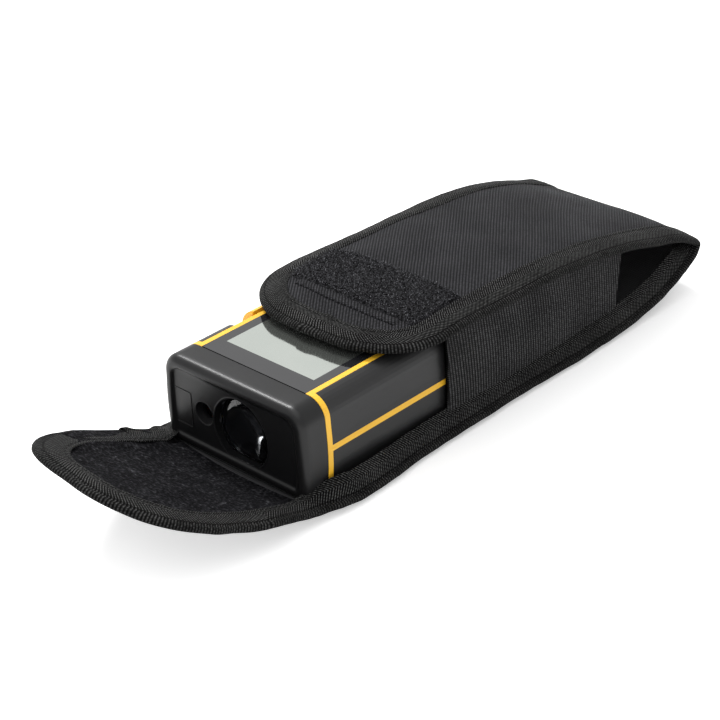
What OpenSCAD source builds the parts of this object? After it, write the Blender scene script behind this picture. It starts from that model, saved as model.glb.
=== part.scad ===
// Laser distance meter, half drawn out of its belt pouch. Millimetres, +Z up.
// The display faces +Z and the laser fires towards -Y. The drawing below is laid out from
// the joint behind the nose cap (y = 0) with the table at z = 0, and at_origin() then moves
// every node so that the origin is the mouth of the tripod thread in the meter's base.

/* [Meter] */
// width of the meter across its barrel-shaped sides
meter_w = 50; // [49:0.5:51]
// height of the meter from base to display face
meter_h = 25.7; // [25.4:0.1:25.9]
// distance from the nose cap joint back to the rear cap's face
meter_len = 104; // [103:0.5:104]
// how far the nose cap stands in front of its joint
cap_len = 8.3; // [7.6:0.1:8.3]
// half width of the flat display face, up to the trim line
face_half = 18.2; // [17.5:0.1:18.4]
// width of the raised trim lines
trim_w = 1.6; // [1.2:0.1:1.8]
// radius of the receiver's window in the nose
window_r = 9.4; // [8.8:0.1:9.6]
// radius of the laser's aperture at the face of the nose
aperture_r = 3.2; // [2.8:0.1:3.4]
// radius of the tripod thread's wall, a 1/4-20 thread cut to its minor size
thread_r = 2.6; // [2.5:0.05:2.7]

/* [Pouch] */
// half width of the pouch over its bound edges
pouch_half = 30; // [29.5:0.25:31]
// thickness of one ply of padded cloth
cloth_t = 1.4; // [1.2:0.1:1.5]
// width of the binding tape on each face
tape_w = 8; // [7:0.5:9]
// how far the tape stands proud of the cloth on each face
tape_t = 0.3; // [0.2:0.05:0.35]
// height of the front panel's crown above its bound edges
crown = 2.3; // [1.6:0.1:2.6]

/* [Quality] */
// facets on round plastic and metal pieces
fn_round = 48; // [32:8:72]

/* [Hidden] */
$fn = fn_round;
thread_y = 40;
rest_z = 2.85;
eps = 0.02;
H = meter_h;
half = meter_w / 2;
mid_z = 12.25;
skin = 0.9;
wall = 1.5;
body_end = meter_len - 2.5;
grip_x = face_half + trim_w;
lcd_half = 15.3;
lcd_y0 = 5.7;
lcd_y1 = 38;
deck_y = 47;
key_top = 0.45;
cell_r = 5.2;
cell_x = 5.5;
cell_z = 7.2;
tray_y0 = 49;
key_y0 = 19.8;
key_y1 = 31;

// ---------------------------------------------------------------- shared helpers

module at_origin() translate([0, -thread_y, -rest_z]) children();

// the meter is drawn with its base at z = 0 and stands on the pouch's back panel
module meter() translate([0, 0, rest_z]) children();

module block(x0, x1, y0, y1, z0, z1)
    translate([x0, y0, z0]) cube([x1 - x0, y1 - y0, z1 - z0]);

// a flat shape drawn in x, z and pulled along y
module along_y(y0, y1)
    translate([0, y1, 0]) rotate([90, 0, 0]) linear_extrude(y1 - y0) children();

module rod_y(r, y0, y1) translate([0, y1, 0]) rotate([90, 0, 0]) cylinder(r = r, h = y1 - y0);

module rod_z(r, z0, z1) translate([0, 0, z0]) cylinder(r = r, h = z1 - z0);

function lerp(a, b, t) = a + (b - a) * t;

// right half of the meter's section, shrunk by d: shoulder, barrel side, base corner
function side_points(d) = concat(
    [for (i = [0:8]) let (a = 90 - i * 11)
        [half - 5.7 + (5.3 - d) * cos(a), H - 5.4 + (5.4 - d) * sin(a)]],
    [for (i = [0:4]) let (z = lerp(H - 7.2, 4.2, i / 4), q = (z - 11.4) / 8)
        [half - 0.4 - d + 0.4 * (1 - q * q), z]],
    [for (i = [1:6]) let (a = -i * 15)
        [half - 3.6 + (3.2 - d) * cos(a), 3.2 + (3.2 - d) * sin(a)]]);

function flip(p) = [for (i = [len(p) - 1:-1:0]) [-p[i][0], p[i][1]]];

module section(d = 0) polygon(concat(side_points(d), flip(side_points(d))));

// a closed skin between two matching grids of points
module slab(top, bottom) {
    nr = len(top);
    nc = len(top[0]);
    n = nr * nc;
    pts = concat([for (r = top) for (p = r) p], [for (r = bottom) for (p = r) p]);
    quads = concat(
        [for (i = [0:nr - 2]) for (j = [0:nc - 2])
            [i * nc + j, (i + 1) * nc + j, (i + 1) * nc + j + 1, i * nc + j + 1]],
        [for (i = [0:nr - 2]) for (j = [0:nc - 2])
            [n + i * nc + j, n + i * nc + j + 1, n + (i + 1) * nc + j + 1, n + (i + 1) * nc + j]],
        [for (i = [0:nr - 2]) [i * nc, n + i * nc, n + (i + 1) * nc, (i + 1) * nc]],
        [for (i = [0:nr - 2]) [(i + 1) * nc - 1, (i + 2) * nc - 1, n + (i + 2) * nc - 1,
            n + (i + 1) * nc - 1]],
        [for (j = [0:nc - 2]) [j, j + 1, n + j + 1, n + j]],
        [for (j = [0:nc - 2]) [n - nc + j, 2 * n - nc + j, 2 * n - nc + j + 1, n - nc + j + 1]]);
    tris = [for (q = quads) for (k = [0, 1]) k == 0 ? [q[0], q[1], q[2]] : [q[0], q[2], q[3]]];
    polyhedron(points = pts, faces = tris, convexity = 8);
}

// ---------------------------------------------------------------- meter: casing

// opening for the receiver: a circle cut flat along its lower side
module window_shape(grow = 0) {
    intersection() {
        translate([2.2, 11.5]) circle(r = window_r + grow);
        translate([2.2 - 15, 3.75 - grow]) square([30, 30]);
    }
}

module nose_outline(y0, y1, d) along_y(y0, y1) section(d);

module front_cap() color([0.04, 0.04, 0.045]) meter() {
    difference() {
        union() {
            nose_outline(-cap_len + 0.5, -0.2, 0);
            nose_outline(-cap_len + 0.22, -cap_len + 0.51, 0.22);
            nose_outline(-cap_len, -cap_len + 0.23, 0.6);
        }
        // recessed face inside the rim
        nose_outline(-cap_len - 1, -cap_len + 0.55, 2.1);
        // hollow behind the face
        nose_outline(-cap_len + 3, 1, 1.6);
        along_y(-cap_len - 1, 0) window_shape();
        translate([-10.8, 0, 12.3]) {
            rod_y(1.9, -cap_len - 1, 0);
            translate([0, -cap_len + 0.5, 0]) rotate([90, 0, 0])
                translate([0, 0, -1.2]) cylinder(r1 = 1.9, r2 = aperture_r, h = 1.25);
        }
    }
    // bezel ring around the receiver's window
    difference() {
        along_y(-cap_len + 0.3, -cap_len + 0.6) window_shape(0.7);
        along_y(-cap_len - 1, 0) window_shape();
    }
    // blank moulded label frame
    difference() {
        block(-21.9, -15.2, -cap_len + 0.3, -cap_len + 0.6, 6.3, 16.6);
        block(-21.3, -15.8, -cap_len - 1, 0, 6.9, 16);
    }
}

// the ring, top lines and side lines of the core stand level with the black covers
module core_solid() {
    nose_outline(-0.15, 1.5, 0);
    nose_outline(1.4, body_end, skin);
    for (s = [-1, 1]) {
        intersection() {
            nose_outline(1.4, body_end, 0);
            translate([s * (face_half + trim_w / 2), 50, H - 2])
                cube([trim_w, 120, 6], center = true);
        }
        intersection() {
            nose_outline(1.4, body_end, 0);
            translate([s * half, 50, mid_z]) cube([8, 120, trim_w], center = true);
        }
    }
}

module core_hollow() {
    difference() {
        nose_outline(-1, body_end + 1, skin + 1.3);
        // floor under the display and keypad is left open; only side rails remain
        for (s = [-1, 1])
            translate([s * (face_half + 1.2), 50, H - 2.4]) cube([4, 140, 2.2], center = true);
    }
    block(-face_half - 0.05, face_half + 0.05, -1, body_end + 1, H - 1.6, H + 1);
    block(-face_half + 0.6, face_half - 0.6, 1.6, body_end - 1.4, H - 4, H);
    key_opening();
}

// the shoulder key lies in a recess of the left cover; the core has an opening under it
module shoulder_recess()
    block(-half - 2, -grip_x + 0.1, key_y0 - 7.2, key_y1 + 1.2, mid_z + 3.2, H + 1);
module key_opening()
    block(-half - 2, -grip_x - 0.02, key_y0 - 0.3, key_y1 + 0.3, mid_z + 3.3, H + 1);

// a post with a rib out to the side wall
module post(x, y, r, z0, z1) intersection() {
    union() {
        translate([x, y, 0]) rod_z(r, z0, z1);
        block(x > 0 ? x : -24, x > 0 ? 24 : x, y - 0.7, y + 0.7, max(z0, mid_z + 0.5), z1);
    }
    nose_outline(-1, body_end + 1, skin + 0.6);
}

module core_upper() color([0.97, 0.63, 0.02]) meter()
    difference() {
        union() {
            difference() {
                intersection() {
                    core_solid();
                    block(-40, 40, -1, 120, mid_z, 40);
                }
                core_hollow();
            }
            for (x = SCREW_X) for (y = SCREW_Y) post(x, y, 2.1, 2.4, H - 5.1);
            for (p = BOARD_SCREWS) post(p[0], p[1], 2, H - 9, H - 5.05);
        }
        screw_places() rod_z(0.82, 0, 12);
        for (p = BOARD_SCREWS) translate([p[0], p[1], 0]) rod_z(1.02, 0, H);
    }

module core_lower() color([0.97, 0.63, 0.02]) meter()
    difference() {
        intersection() {
            core_solid();
            block(-40, 40, -1, 120, -1, mid_z - 0.04);
        }
        nose_outline(-1, body_end + 1, skin + 1.3);
        // room for the battery door and the tripod nut
        block(-13.3, 13.3, tray_y0 - 1.5, body_end + 1, -1, 4);
        translate([0, thread_y, 0]) rod_z(5.6, -1, 5);
        screw_holes(1.2);
    }

module grip(side) color([0.06, 0.06, 0.065]) meter()
    difference() {
        nose_outline(1.55, body_end - 0.05, 0);
        nose_outline(0, body_end + 1, skin - eps);
        block(-40, 40, -1, 120, -1, mid_z + trim_w / 2 + 0.05);
        block(-grip_x - 0.05, grip_x + 0.05, -1, 120, -1, 60);
        block(side > 0 ? -60 : 0, side > 0 ? 0 : 60, -1, 120, -1, 60);
        shoulder_recess();
    }

module grip_upper_left() grip(-1);
module grip_upper_right() grip(1);

SCREW_X = [-18, 18];
SCREW_Y = [9, 95];
BOARD_SCREWS = [[-15.5, 44], [15.5, 44], [-14.5, 91], [14.5, 91]];
module screw_places() for (x = SCREW_X) for (y = SCREW_Y) translate([x, y, 0]) children();

module screw_holes(r) screw_places() rod_z(r, -1, 16);

module base_shell() color([0.05, 0.05, 0.055]) meter()
    difference() {
        nose_outline(1.55, body_end - 0.05, 0);
        nose_outline(0, body_end + 1, skin - eps);
        block(-40, 40, -1, 120, mid_z - trim_w / 2 - 0.05, 60);
        block(-13.3, 13.3, tray_y0 - 0.8, body_end + 1, -1, 4);
        translate([0, thread_y, 0]) rod_z(5.15, -1, 5);
        screw_places() rod_z(2.1, -1, 5);
    }

module rear_cap() color([0.04, 0.04, 0.045]) meter()
    difference() {
        union() {
            nose_outline(body_end + 0.03, meter_len - 0.8, 0);
            nose_outline(meter_len - 0.81, meter_len - 0.3, 0.3);
            nose_outline(meter_len - 0.31, meter_len, 0.8);
        }
        // eye for a wrist strap: a bar left standing between two slots
        block(14, 20, body_end - 1, meter_len - 1.1, 4, 7.5);
        for (x = [14, 18.4]) block(x, x + 1.6, body_end, meter_len + 1, 4, 7.5);
        // track for the battery door
        block(-13.3, 13.3, body_end - 1, meter_len + 1, -1, 1.75);
    }

// ---------------------------------------------------------------- meter: face and keys

module display_cover() color([0.015, 0.015, 0.018]) meter()
    difference() {
        block(-face_half, face_half, 0.02, deck_y - 0.05, H - 1.5, H);
        block(-lcd_half, lcd_half, lcd_y0, lcd_y1, H - 2, H + 1);
    }

module lcd_window() color([0.75, 0.82, 0.8, 0.35]) meter()
    block(-lcd_half + 0.02, lcd_half - 0.02, lcd_y0 + 0.02, lcd_y1 - 0.02, H - 1.5, H - 0.02);

module key_shape(kind, grow = 0) {
    if (kind == 0) circle(r = 6 + grow);
    else intersection() {
        square([8.6 + 2 * grow, 7 + 2 * grow], center = true);
        circle(r = 5 + grow);
    }
}

KEYS = [
    [0, 56, 0], [-12, 56, 1], [12, 56, 1], [-12, 70, 1], [0, 70, 1],
    [12, 70, 1], [-7, 83, 1], [7, 83, 1]
];

module keypad_panel() color([0.03, 0.03, 0.035]) meter()
    difference() {
        block(-face_half, face_half, deck_y, body_end - 0.05, H - 1.5, H);
        for (k = KEYS) translate([k[0], k[1], H - 2]) linear_extrude(4) key_shape(k[2], 0.15);
    }

module key(i) {
    k = KEYS[i];
    meter() translate([k[0], k[1], 0]) {
        translate([0, 0, H - 2.0]) linear_extrude(2.0 + key_top - 0.25) key_shape(k[2]);
        translate([0, 0, H + key_top - 0.26]) linear_extrude(0.26) key_shape(k[2], -0.3);
        translate([0, 0, H - 2.3]) linear_extrude(0.65) key_shape(k[2], 0.45);
    }
}

module key_measure() color([0.95, 0.6, 0.03]) key(0);
module key_plus() color([0.16, 0.16, 0.17]) key(1);
module key_minus() color([0.16, 0.16, 0.17]) key(2);
module key_area() color([0.16, 0.16, 0.17]) key(3);
module key_function() color([0.16, 0.16, 0.17]) key(4);
module key_memory() color([0.16, 0.16, 0.17]) key(5);
module key_unit() color([0.16, 0.16, 0.17]) key(6);
module key_clear() color([0.16, 0.16, 0.17]) key(7);

// pressed towards +X; it fills an opening in the left grip and the core
module side_key() color([0.97, 0.63, 0.02]) meter()
    intersection() {
        difference() {
            union() {
                nose_outline(key_y0 + 0.4, key_y1 - 0.4, -0.7);
                nose_outline(key_y0, key_y1, -0.35);
            }
            nose_outline(key_y0 - 1, key_y1 + 1, skin + 0.8);
        }
        block(-half - 2, -grip_x - 0.7, key_y0, key_y1, mid_z + 3.6, H + 1);
    }

// ---------------------------------------------------------------- meter: inside

module dome_sheet() color([0.8, 0.8, 0.75]) meter() {
    block(-17, 17, deck_y + 1, 89, H - 3.35, H - 3.15);
    for (k = KEYS) translate([k[0], k[1], 0]) rod_z(3, H - 3.16, H - 2.85);
}

module main_board() color([0.05, 0.35, 0.15]) meter()
    difference() {
        block(-17.4, 17.4, 3, 99, H - 5, H - 3.4);
        for (p = BOARD_SCREWS) translate([p[0], p[1], 0]) rod_z(1.1, 0, H);
        block(-9, 9, -1, 14, 0, H);
    }

module board_screws() color([0.7, 0.7, 0.72]) meter()
    for (p = BOARD_SCREWS) translate([p[0], p[1], 0]) {
        rod_z(1, H - 8, H - 3.37);
        rod_z(1.6, H - 3.38, H - 2.65);
    }

module processor_can() color([0.75, 0.76, 0.78]) meter()
    block(-9, 7, 18, 34, H - 7.4, H - 5.05);

module buzzer() color([0.1, 0.1, 0.1]) meter()
    translate([9, 41, 0]) difference() {
        rod_z(4.5, H - 8.4, H - 5.05);
        rod_z(1, H - 9, H - 7);
    }

module lcd_panel() color([0.33, 0.4, 0.34]) meter()
    block(-16.2, 16.2, lcd_y0 + 8.5, lcd_y1 + 2, H - 2.35, H - 1.65);

module backlight() color([0.9, 0.92, 0.9]) meter()
    block(-16.2, 16.2, lcd_y0 + 8.5, lcd_y1 + 2, H - 3.3, H - 2.4);

module optics_block() color([0.2, 0.2, 0.21]) meter()
    difference() {
        union() {
            block(-15.4, 15, -5, 12, 2.4, H - 2.6);
            block(-6, 12, 12, 32, 5, H - 8);
        }
        translate([2.2, 0, 11.5]) rod_y(8.3, -6, 9);
        translate([2.2, 0, 11.5]) rod_y(6, 8.9, 22);
        translate([2.2, 0, 11.5]) rod_y(3.2, 21.9, 33);
        translate([2.2, 0, 11.5]) rod_y(9.2, -6, -1.9);
        translate([-10.8, 0, 12.3]) rod_y(3.62, -6, 13);
        block(-40, 40, -6, 13, H - 5.5, H);
    }

module laser_tube() color([0.8, 0.62, 0.25]) meter()
    translate([-10.8, 0, 12.3]) difference() {
        rod_y(3.58, -4.6, 15);
        rod_y(2.4, -5, 4);
        rod_y(1.6, 3.9, 10);
        rod_y(2.85, 9.9, 16);
    }

module laser_lens() color([0.8, 0.88, 0.9, 0.35]) meter()
    translate([-10.8, 0, 12.3]) rod_y(2.36, -2.6, -0.8);

module laser_window() color([0.85, 0.9, 0.92, 0.35]) meter()
    translate([-10.8, 0, 12.3]) rod_y(2.8, -5.2, -4.65);

module laser_diode() color([0.75, 0.7, 0.5]) meter()
    translate([-10.8, 0, 12.3]) {
        rod_y(2.8, 10.2, 11.4);
        rod_y(1.5, 8.2, 10.3);
        for (x = [-0.9, 0.9]) translate([x, 0, 0]) rod_y(0.25, 11.3, 17);
    }

module receiver_lens() color([0.8, 0.88, 0.9, 0.35]) meter()
    translate([2.2, 0, 11.5]) {
        rod_y(9.1, -4.9, -2);
        translate([0, -4.6, 0]) intersection() {
            translate([0, 24, 0]) sphere(r = 25.6, $fn = 64);
            rod_y(8.9, -2, 0.2);
        }
    }

module sensor_board() color([0.05, 0.35, 0.15]) meter()
    block(-6, 12, 32.1, 33.5, 4.5, H - 8.6);

module photodiode() color([0.7, 0.7, 0.72]) meter()
    translate([2.2, 0, 11.5]) {
        rod_y(2.6, 28.6, 32.05);
        rod_y(1.4, 27.8, 28.7);
    }

module battery_tray() color([0.12, 0.12, 0.13]) meter()
    difference() {
        block(-13, 13, tray_y0, body_end - 0.1, 1.8, 13.9);
        block(-11.6, 11.6, tray_y0 + 1.3, body_end - 1.4, -1, 12.6);
        // rails for the door
        block(-14, 14, tray_y0 - 1, body_end + 1, -1, 1.85);
    }

module cell(x) {
    meter() translate([x, 0, cell_z]) {
        rod_y(cell_r, 53.6, 97.2);
        rod_y(1.9, 97.1, 98.2);
    }
}
module battery_left() color([0.75, 0.77, 0.8]) cell(-cell_x);
module battery_right() color([0.75, 0.77, 0.8]) cell(cell_x);

module contact_plates() color([0.8, 0.8, 0.82]) meter()
    for (x = [-cell_x, cell_x]) {
        block(x - 4.4, x + 4.4, 98.3, 98.8, cell_z - 4.4, cell_z + 4.4);
        block(x - 4.4, x + 4.4, tray_y0 + 1.4, tray_y0 + 1.8, cell_z - 4.4, cell_z + 4.4);
    }

// conical wire coil along +Y, from radius ra to rb over length l
module coil(ra, rb, l, turns, wire) {
    n = turns * 20;
    k = 8;
    pts = [for (i = [0:n]) let (a = i * 18, r = lerp(ra, rb, i / n)) for (j = [0:k - 1])
        let (q = r + wire * cos(j * 360 / k))
        [q * cos(a), i / n * l + wire * sin(j * 360 / k), q * sin(a)]];
    sides = [for (i = [0:n - 1]) for (j = [0:k - 1]) let (m = (j + 1) % k)
        for (t = [0, 1]) t == 0 ? [i * k + j, i * k + m, (i + 1) * k + m]
            : [i * k + j, (i + 1) * k + m, (i + 1) * k + j]];
    caps = [[for (j = [k - 1:-1:0]) j], [for (j = [0:k - 1]) n * k + j]];
    polyhedron(points = pts, faces = concat(sides, caps), convexity = 6);
}

module contact_springs() color([0.8, 0.8, 0.82]) meter()
    for (x = [-cell_x, cell_x])
        translate([x, tray_y0 + 2.2, cell_z]) coil(3.9, 2.1, 1.95, 3, 0.3);

module battery_cover() color([0.05, 0.05, 0.055]) meter() {
    difference() {
        union() {
            block(-13.1, 13.1, tray_y0 - 0.6, meter_len - 0.2, 0, 1.55);
            // tongues that run in the tray's rails
            for (s = [-1, 1]) block(s > 0 ? 11.9 : -12.9, s > 0 ? 12.9 : -11.9,
                60, 90, 1.5, 1.75);
        }
        // thumb grooves
        for (i = [0:4]) translate([-6, 58 + i * 2, -0.01]) cube([12, 0.9, 0.35]);
    }
}

module tripod_nut() color([0.82, 0.65, 0.3]) meter()
    translate([0, thread_y, 0]) difference() {
        union() {
            rod_z(5, 0, 5.5);
            rod_z(6.2, 2.25, 3.4);
        }
        rod_z(thread_r, -1, 4.7);
    }

module case_screws() color([0.3, 0.3, 0.32]) meter()
    screw_places() difference() {
        union() {
            rod_z(1.9, 0.2, 0.86);
            rod_z(0.8, 0.8, 9);
        }
        for (a = [0, 90]) rotate([0, 0, a])
            translate([-1.2, -0.25, -0.5]) cube([2.4, 0.5, 1.1]);
    }

// ---------------------------------------------------------------- pouch surfaces

// outer line of the cloth strip along its middle, from the front panel's tip over the
// top, around the fold at the back and forward along the table to the flap's fold
STRIP = [
    [18, 31.5], [29, 33.1], [41, 34.6], [53, 35.1], [67, 34.9], [81, 33.9], [94, 32.4],
    [104, 31.2], [112, 29.9], [121, 27.7], [130, 24.8], [139, 20.9], [145, 17.6],
    [149, 14.6], [149.3, 12.6], [145, 9.8], [139, 7], [130, 3.9], [120, 2], [110, 1.2],
    [98, 1], [70, 1], [40, 1], [15, 1], [-8.9, 1]
];
fold_y = -10.4;
fold_z = 1.75;

// smooth a line by one round of corner cutting, keeping both ends
function cut(p) = concat([p[0]],
    [for (i = [0:len(p) - 2]) for (t = [0.25, 0.75]) lerp(p[i], p[i + 1], t)],
    [p[len(p) - 1]]);
LINE = cut(STRIP);
last = len(LINE) - 1;

function unit2(v) = v / max(norm(v), 1e-9);
// direction of the line and its outward side at point i
function heading(i) = unit2(LINE[min(i + 1, last)] - LINE[max(i - 1, 0)]);
function outward(i) = [-heading(i)[1], heading(i)[0]];
// the crown fades out around the fold and is gone on the table side
function crown_at(i) = crown * max(0, min(1, (LINE[i][1] - 8) / 14));

// a point of the strip: station i, place x, depth d below the outer face
function on_strip(i, x, d) = let (
    drop = crown_at(i) * pow(min(abs(x) / pouch_half, 1), 4),
    q = LINE[i] - outward(i) * (d + drop)) [x, q[0], q[1]];

// ---------------------------------------------------------------- pouch body

// first station behind the rounded end, where the edge tapes begin
FIRST = len([for (p = [0:last]) if (LINE[p][0] < 41 && LINE[p][1] > 20) 1]);
join_y = LINE[FIRST][0];

// height of the front panel's middle line at distance y
TOPSIDE = [for (p = LINE) if (p[1] > 20) [p[0], p[1]]];
function top_at(y) = lookup(y, TOPSIDE);
function front_point(x, y, d) =
    [x, y, top_at(y) - d - crown * pow(min(abs(x) / pouch_half, 1), 4)];

// outline of the front panel's rounded end shrunk by m: half width at y, and the point
// at turn a (0 at the tip, 90 where the sides run straight)
end_y = 38;
end_l = 20;
end_flat = 8;
end_pow = 1.75;
function end_half(y, m) = end_flat + (pouch_half - end_flat - m)
    * pow(1 - pow(max(0, min(1, (end_y - y) / (end_l - m))), end_pow), 1 / end_pow);
function end_point(a, m) = [
    end_flat + (pouch_half - end_flat - m) * pow(sin(a), 2 / end_pow),
    end_y - (end_l - m) * pow(cos(a), 2 / end_pow)];

module pouch_strip() color([0.05, 0.05, 0.055]) {
    m = tape_w + 0.1;
    cols = [-1, -0.75, -0.5, -0.25, 0, 0.25, 0.5, 0.75, 1];
    tip = [for (k = [0:9]) end_y - (end_l - m) * pow(cos(k * 10), 2 / end_pow)];
    a = concat([for (y = tip) [for (c = cols) front_point(c * end_half(y, m), y, 0)]],
        [for (i = [FIRST:last]) [for (c = cols) on_strip(i, c * (pouch_half - m), 0)]]);
    b = concat([for (y = tip) [for (c = cols) front_point(c * end_half(y, m), y, cloth_t)]],
        [for (i = [FIRST:last]) [for (c = cols) on_strip(i, c * (pouch_half - m), cloth_t)]]);
    slab(a, b);
}

// tape along one long edge: up the front panel, around the fold and along the table
module edge_tape(side) {
    xs = [pouch_half, pouch_half - tape_w / 2, pouch_half - tape_w];
    rows = [for (i = [FIRST:last]) [for (x = side > 0 ? xs : -xs) [i, x]]];
    top = [for (r = rows) [for (q = r) on_strip(q[0], q[1], -tape_t)]];
    low = [for (r = rows) [for (q = r) on_strip(q[0], q[1], cloth_t + tape_t)]];
    if (side > 0) slab(low, top);
    else slab(top, low);
}

module binding_left() color([0.06, 0.06, 0.065]) edge_tape(-1);
module binding_right() color([0.06, 0.06, 0.065]) edge_tape(1);

module binding_front() color([0.06, 0.06, 0.065]) {
    ms = [0, tape_w / 2, tape_w];
    right = [for (k = [0:12]) [for (m = ms) end_point(k * 7.5, m)]];
    stop = [for (m = ms) [pouch_half - m, join_y - 0.15]];
    half_line = concat(right, [stop]);
    n = len(half_line);
    rows = concat([for (k = [n - 1:-1:0]) [for (q = half_line[k]) [-q[0], q[1]]]], half_line);
    slab([for (r = rows) [for (q = r) front_point(q[0], q[1], cloth_t + tape_t)]],
        [for (r = rows) [for (q = r) front_point(q[0], q[1], -tape_t)]]);
}

// side wall, standing between the two panels
module gusset(side) {
    x0 = side > 0 ? 25.55 : -26.75;
    lid = [for (p = LINE) if (p[0] > 43 && p[0] < 116 && p[1] > 20)
        [p[0], p[1] - cloth_t - tape_t - 1.6]];
    floor_z = 1 + cloth_t + tape_t + 0.05;
    translate([x0, 0, 0]) rotate([90, 0, 90]) linear_extrude(1.2)
        polygon(concat([[41.5, floor_z], [41.5, top_at(42) - cloth_t - tape_t - 1.6]], lid,
            [[116.5, 15], [111, floor_z + 0.8]]));
}
module gusset_left() color([0.05, 0.05, 0.055]) gusset(-1);
module gusset_right() color([0.05, 0.05, 0.055]) gusset(1);

// hook patch sewn on the front panel behind the tape
function hook_half(y) = min(21.7, end_half(y, tape_w) - 0.3);
module hook_patch() color([0.03, 0.03, 0.03]) {
    cols = [-1, -0.5, 0, 0.5, 1];
    ys = [34.6, 36, 38.5, 42, 46, 50, 53];
    slab([for (y = ys) [for (c = cols) front_point(c * hook_half(y), y, -1.4)]],
        [for (y = ys) [for (c = cols) front_point(c * hook_half(y), y, -0.2)]]);
}

// webbing loop on the back, flat against the table
module belt_loop() color([0.05, 0.05, 0.055])
    difference() {
        block(-19, 19, 52, 106, 0, 0.94);
        block(-40, 40, 58, 100, 0.42, 0.58);
    }

// ---------------------------------------------------------------- flap

// the open flap rises in front of the nose, a little higher on its left side
tip_y = -62;
wall_end = -39.6;
function rise(y) = 0.354 * pow(max(0, fold_y - y), 1.1);
function flap_z(x, y) = fold_z - cloth_t / 2 + rise(y) - 0.0018 * x * max(0, fold_y - y);
function flap_n(x, y) = let (
    dz = (flap_z(x, y - 0.5) - flap_z(x, y + 0.5)),
    k = 1 / sqrt(1 + dz * dz)) [0, dz * k, k];
function on_flap(x, y, d) = [x, y, flap_z(x, y)] + flap_n(x, y) * d;

// half width and middle of the flap's outline at y, shrunk by m
function flap_half(y, m) = let (
    u = max(0, (-11 - y) / (51 - m))) (28.2 - m) * pow(max(0, 1 - pow(u, 2.9)), 1 / 2.9);
flap_mid = 2.6;

gap = 1.15;
wall_ys = [fold_y - 1, -16, -21, -26, -31, -36, wall_end + gap];
tip_ys = [wall_end - gap, -43, -46, -49, -51.5, -53, -53.7];
cols5 = [-1, -0.5, 0, 0.5, 1];

module flap_sheet(ys, m, d0, d1) {
    rows = [for (y = ys) [for (c = cols5) [flap_mid + c * flap_half(y, m), y]]];
    slab([for (r = rows) [for (q = r) on_flap(q[0], q[1], d0)]],
        [for (r = rows) [for (q = r) on_flap(q[0], q[1], d1)]]);
}

module flap_tape(pts) {
    rows = [for (a = pts) [for (m = [0, tape_w / 2, tape_w])
        [flap_mid + a[0] * flap_half(a[1] + m * a[2], m), a[1] + m * a[2]]]];
    slab([for (r = rows) [for (q = r) on_flap(q[0], q[1], cloth_t + tape_t)]],
        [for (r = rows) [for (q = r) on_flap(q[0], q[1], -tape_t)]]);
}

module flap_wall_panel() color([0.05, 0.05, 0.055]) {
    flap_sheet(concat([fold_y - 0.4], wall_ys), tape_w + 0.1, 0, cloth_t * 0.5);
    // rolled edge that fills the fold
    translate([-20, fold_y, fold_z]) rotate([0, 90, 0]) cylinder(r = cloth_t / 2, h = 42, $fn = 24);
}
module flap_wall_lining() color([0.05, 0.05, 0.05])
    flap_sheet(wall_ys, tape_w + 0.1, cloth_t * 0.5 + 0.02, cloth_t);

module flap_wall_binding() color([0.06, 0.06, 0.065]) {
    for (s = [-1, 1]) {
        rows = [for (y = wall_ys) [for (m = [0, tape_w / 2, tape_w])
            [flap_mid + s * flap_half(y, m), y]]];
        a = [for (r = rows) [for (q = r) on_flap(q[0], q[1], cloth_t + tape_t)]];
        b = [for (r = rows) [for (q = r) on_flap(q[0], q[1], -tape_t)]];
        if (s > 0) slab(b, a);
        else slab(a, b);
    }
}

module flap_tip_panel() color([0.05, 0.05, 0.055])
    flap_sheet(tip_ys, tape_w + 0.1, 0, cloth_t * 0.5);
module flap_tip_lining() color([0.05, 0.05, 0.05])
    flap_sheet(tip_ys, tape_w + 0.1, cloth_t * 0.5 + 0.02, cloth_t);

// the tape runs around the flap's rounded tip
function flap_round(a, m) = let (
    e = 2 / 2.9,
    s = sin(a) < 0 ? -1 : 1)
    [flap_mid + s * (28.2 - m) * pow(abs(sin(a)), e), -11 - (51 - m) * pow(cos(a), e)];

// turn at which the outline shrunk by m meets the line where the tip begins
function flap_turn(m) = acos(pow((-11 - wall_end + gap) / (51 - m), 2.9 / 2));

module flap_tip_binding() color([0.06, 0.06, 0.065]) {
    rows = [for (k = [-16:16]) [for (m = [0, tape_w / 2, tape_w])
        flap_round(flap_turn(m) * k / 16, m)]];
    slab([for (r = rows) [for (q = r) on_flap(q[0], q[1], cloth_t + tape_t)]],
        [for (r = rows) [for (q = r) on_flap(q[0], q[1], -tape_t)]]);
}

// ---------------------------------------------------------------- nodes

at_origin() front_cap();
at_origin() core_upper();
at_origin() core_lower();
at_origin() grip_upper_left();
at_origin() grip_upper_right();
at_origin() base_shell();
at_origin() rear_cap();
at_origin() display_cover();
at_origin() lcd_window();
at_origin() keypad_panel();
at_origin() key_measure();
at_origin() key_plus();
at_origin() key_minus();
at_origin() key_area();
at_origin() key_function();
at_origin() key_memory();
at_origin() key_unit();
at_origin() key_clear();
at_origin() side_key();
at_origin() dome_sheet();
at_origin() main_board();
at_origin() processor_can();
at_origin() buzzer();
at_origin() board_screws();
at_origin() lcd_panel();
at_origin() backlight();
at_origin() optics_block();
at_origin() laser_tube();
at_origin() laser_lens();
at_origin() laser_diode();
at_origin() laser_window();
at_origin() receiver_lens();
at_origin() sensor_board();
at_origin() photodiode();
at_origin() battery_tray();
at_origin() battery_left();
at_origin() battery_right();
at_origin() contact_plates();
at_origin() contact_springs();
at_origin() battery_cover();
at_origin() tripod_nut();
at_origin() case_screws();
at_origin() pouch_strip();
at_origin() binding_front();
at_origin() binding_left();
at_origin() binding_right();
at_origin() gusset_left();
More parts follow.
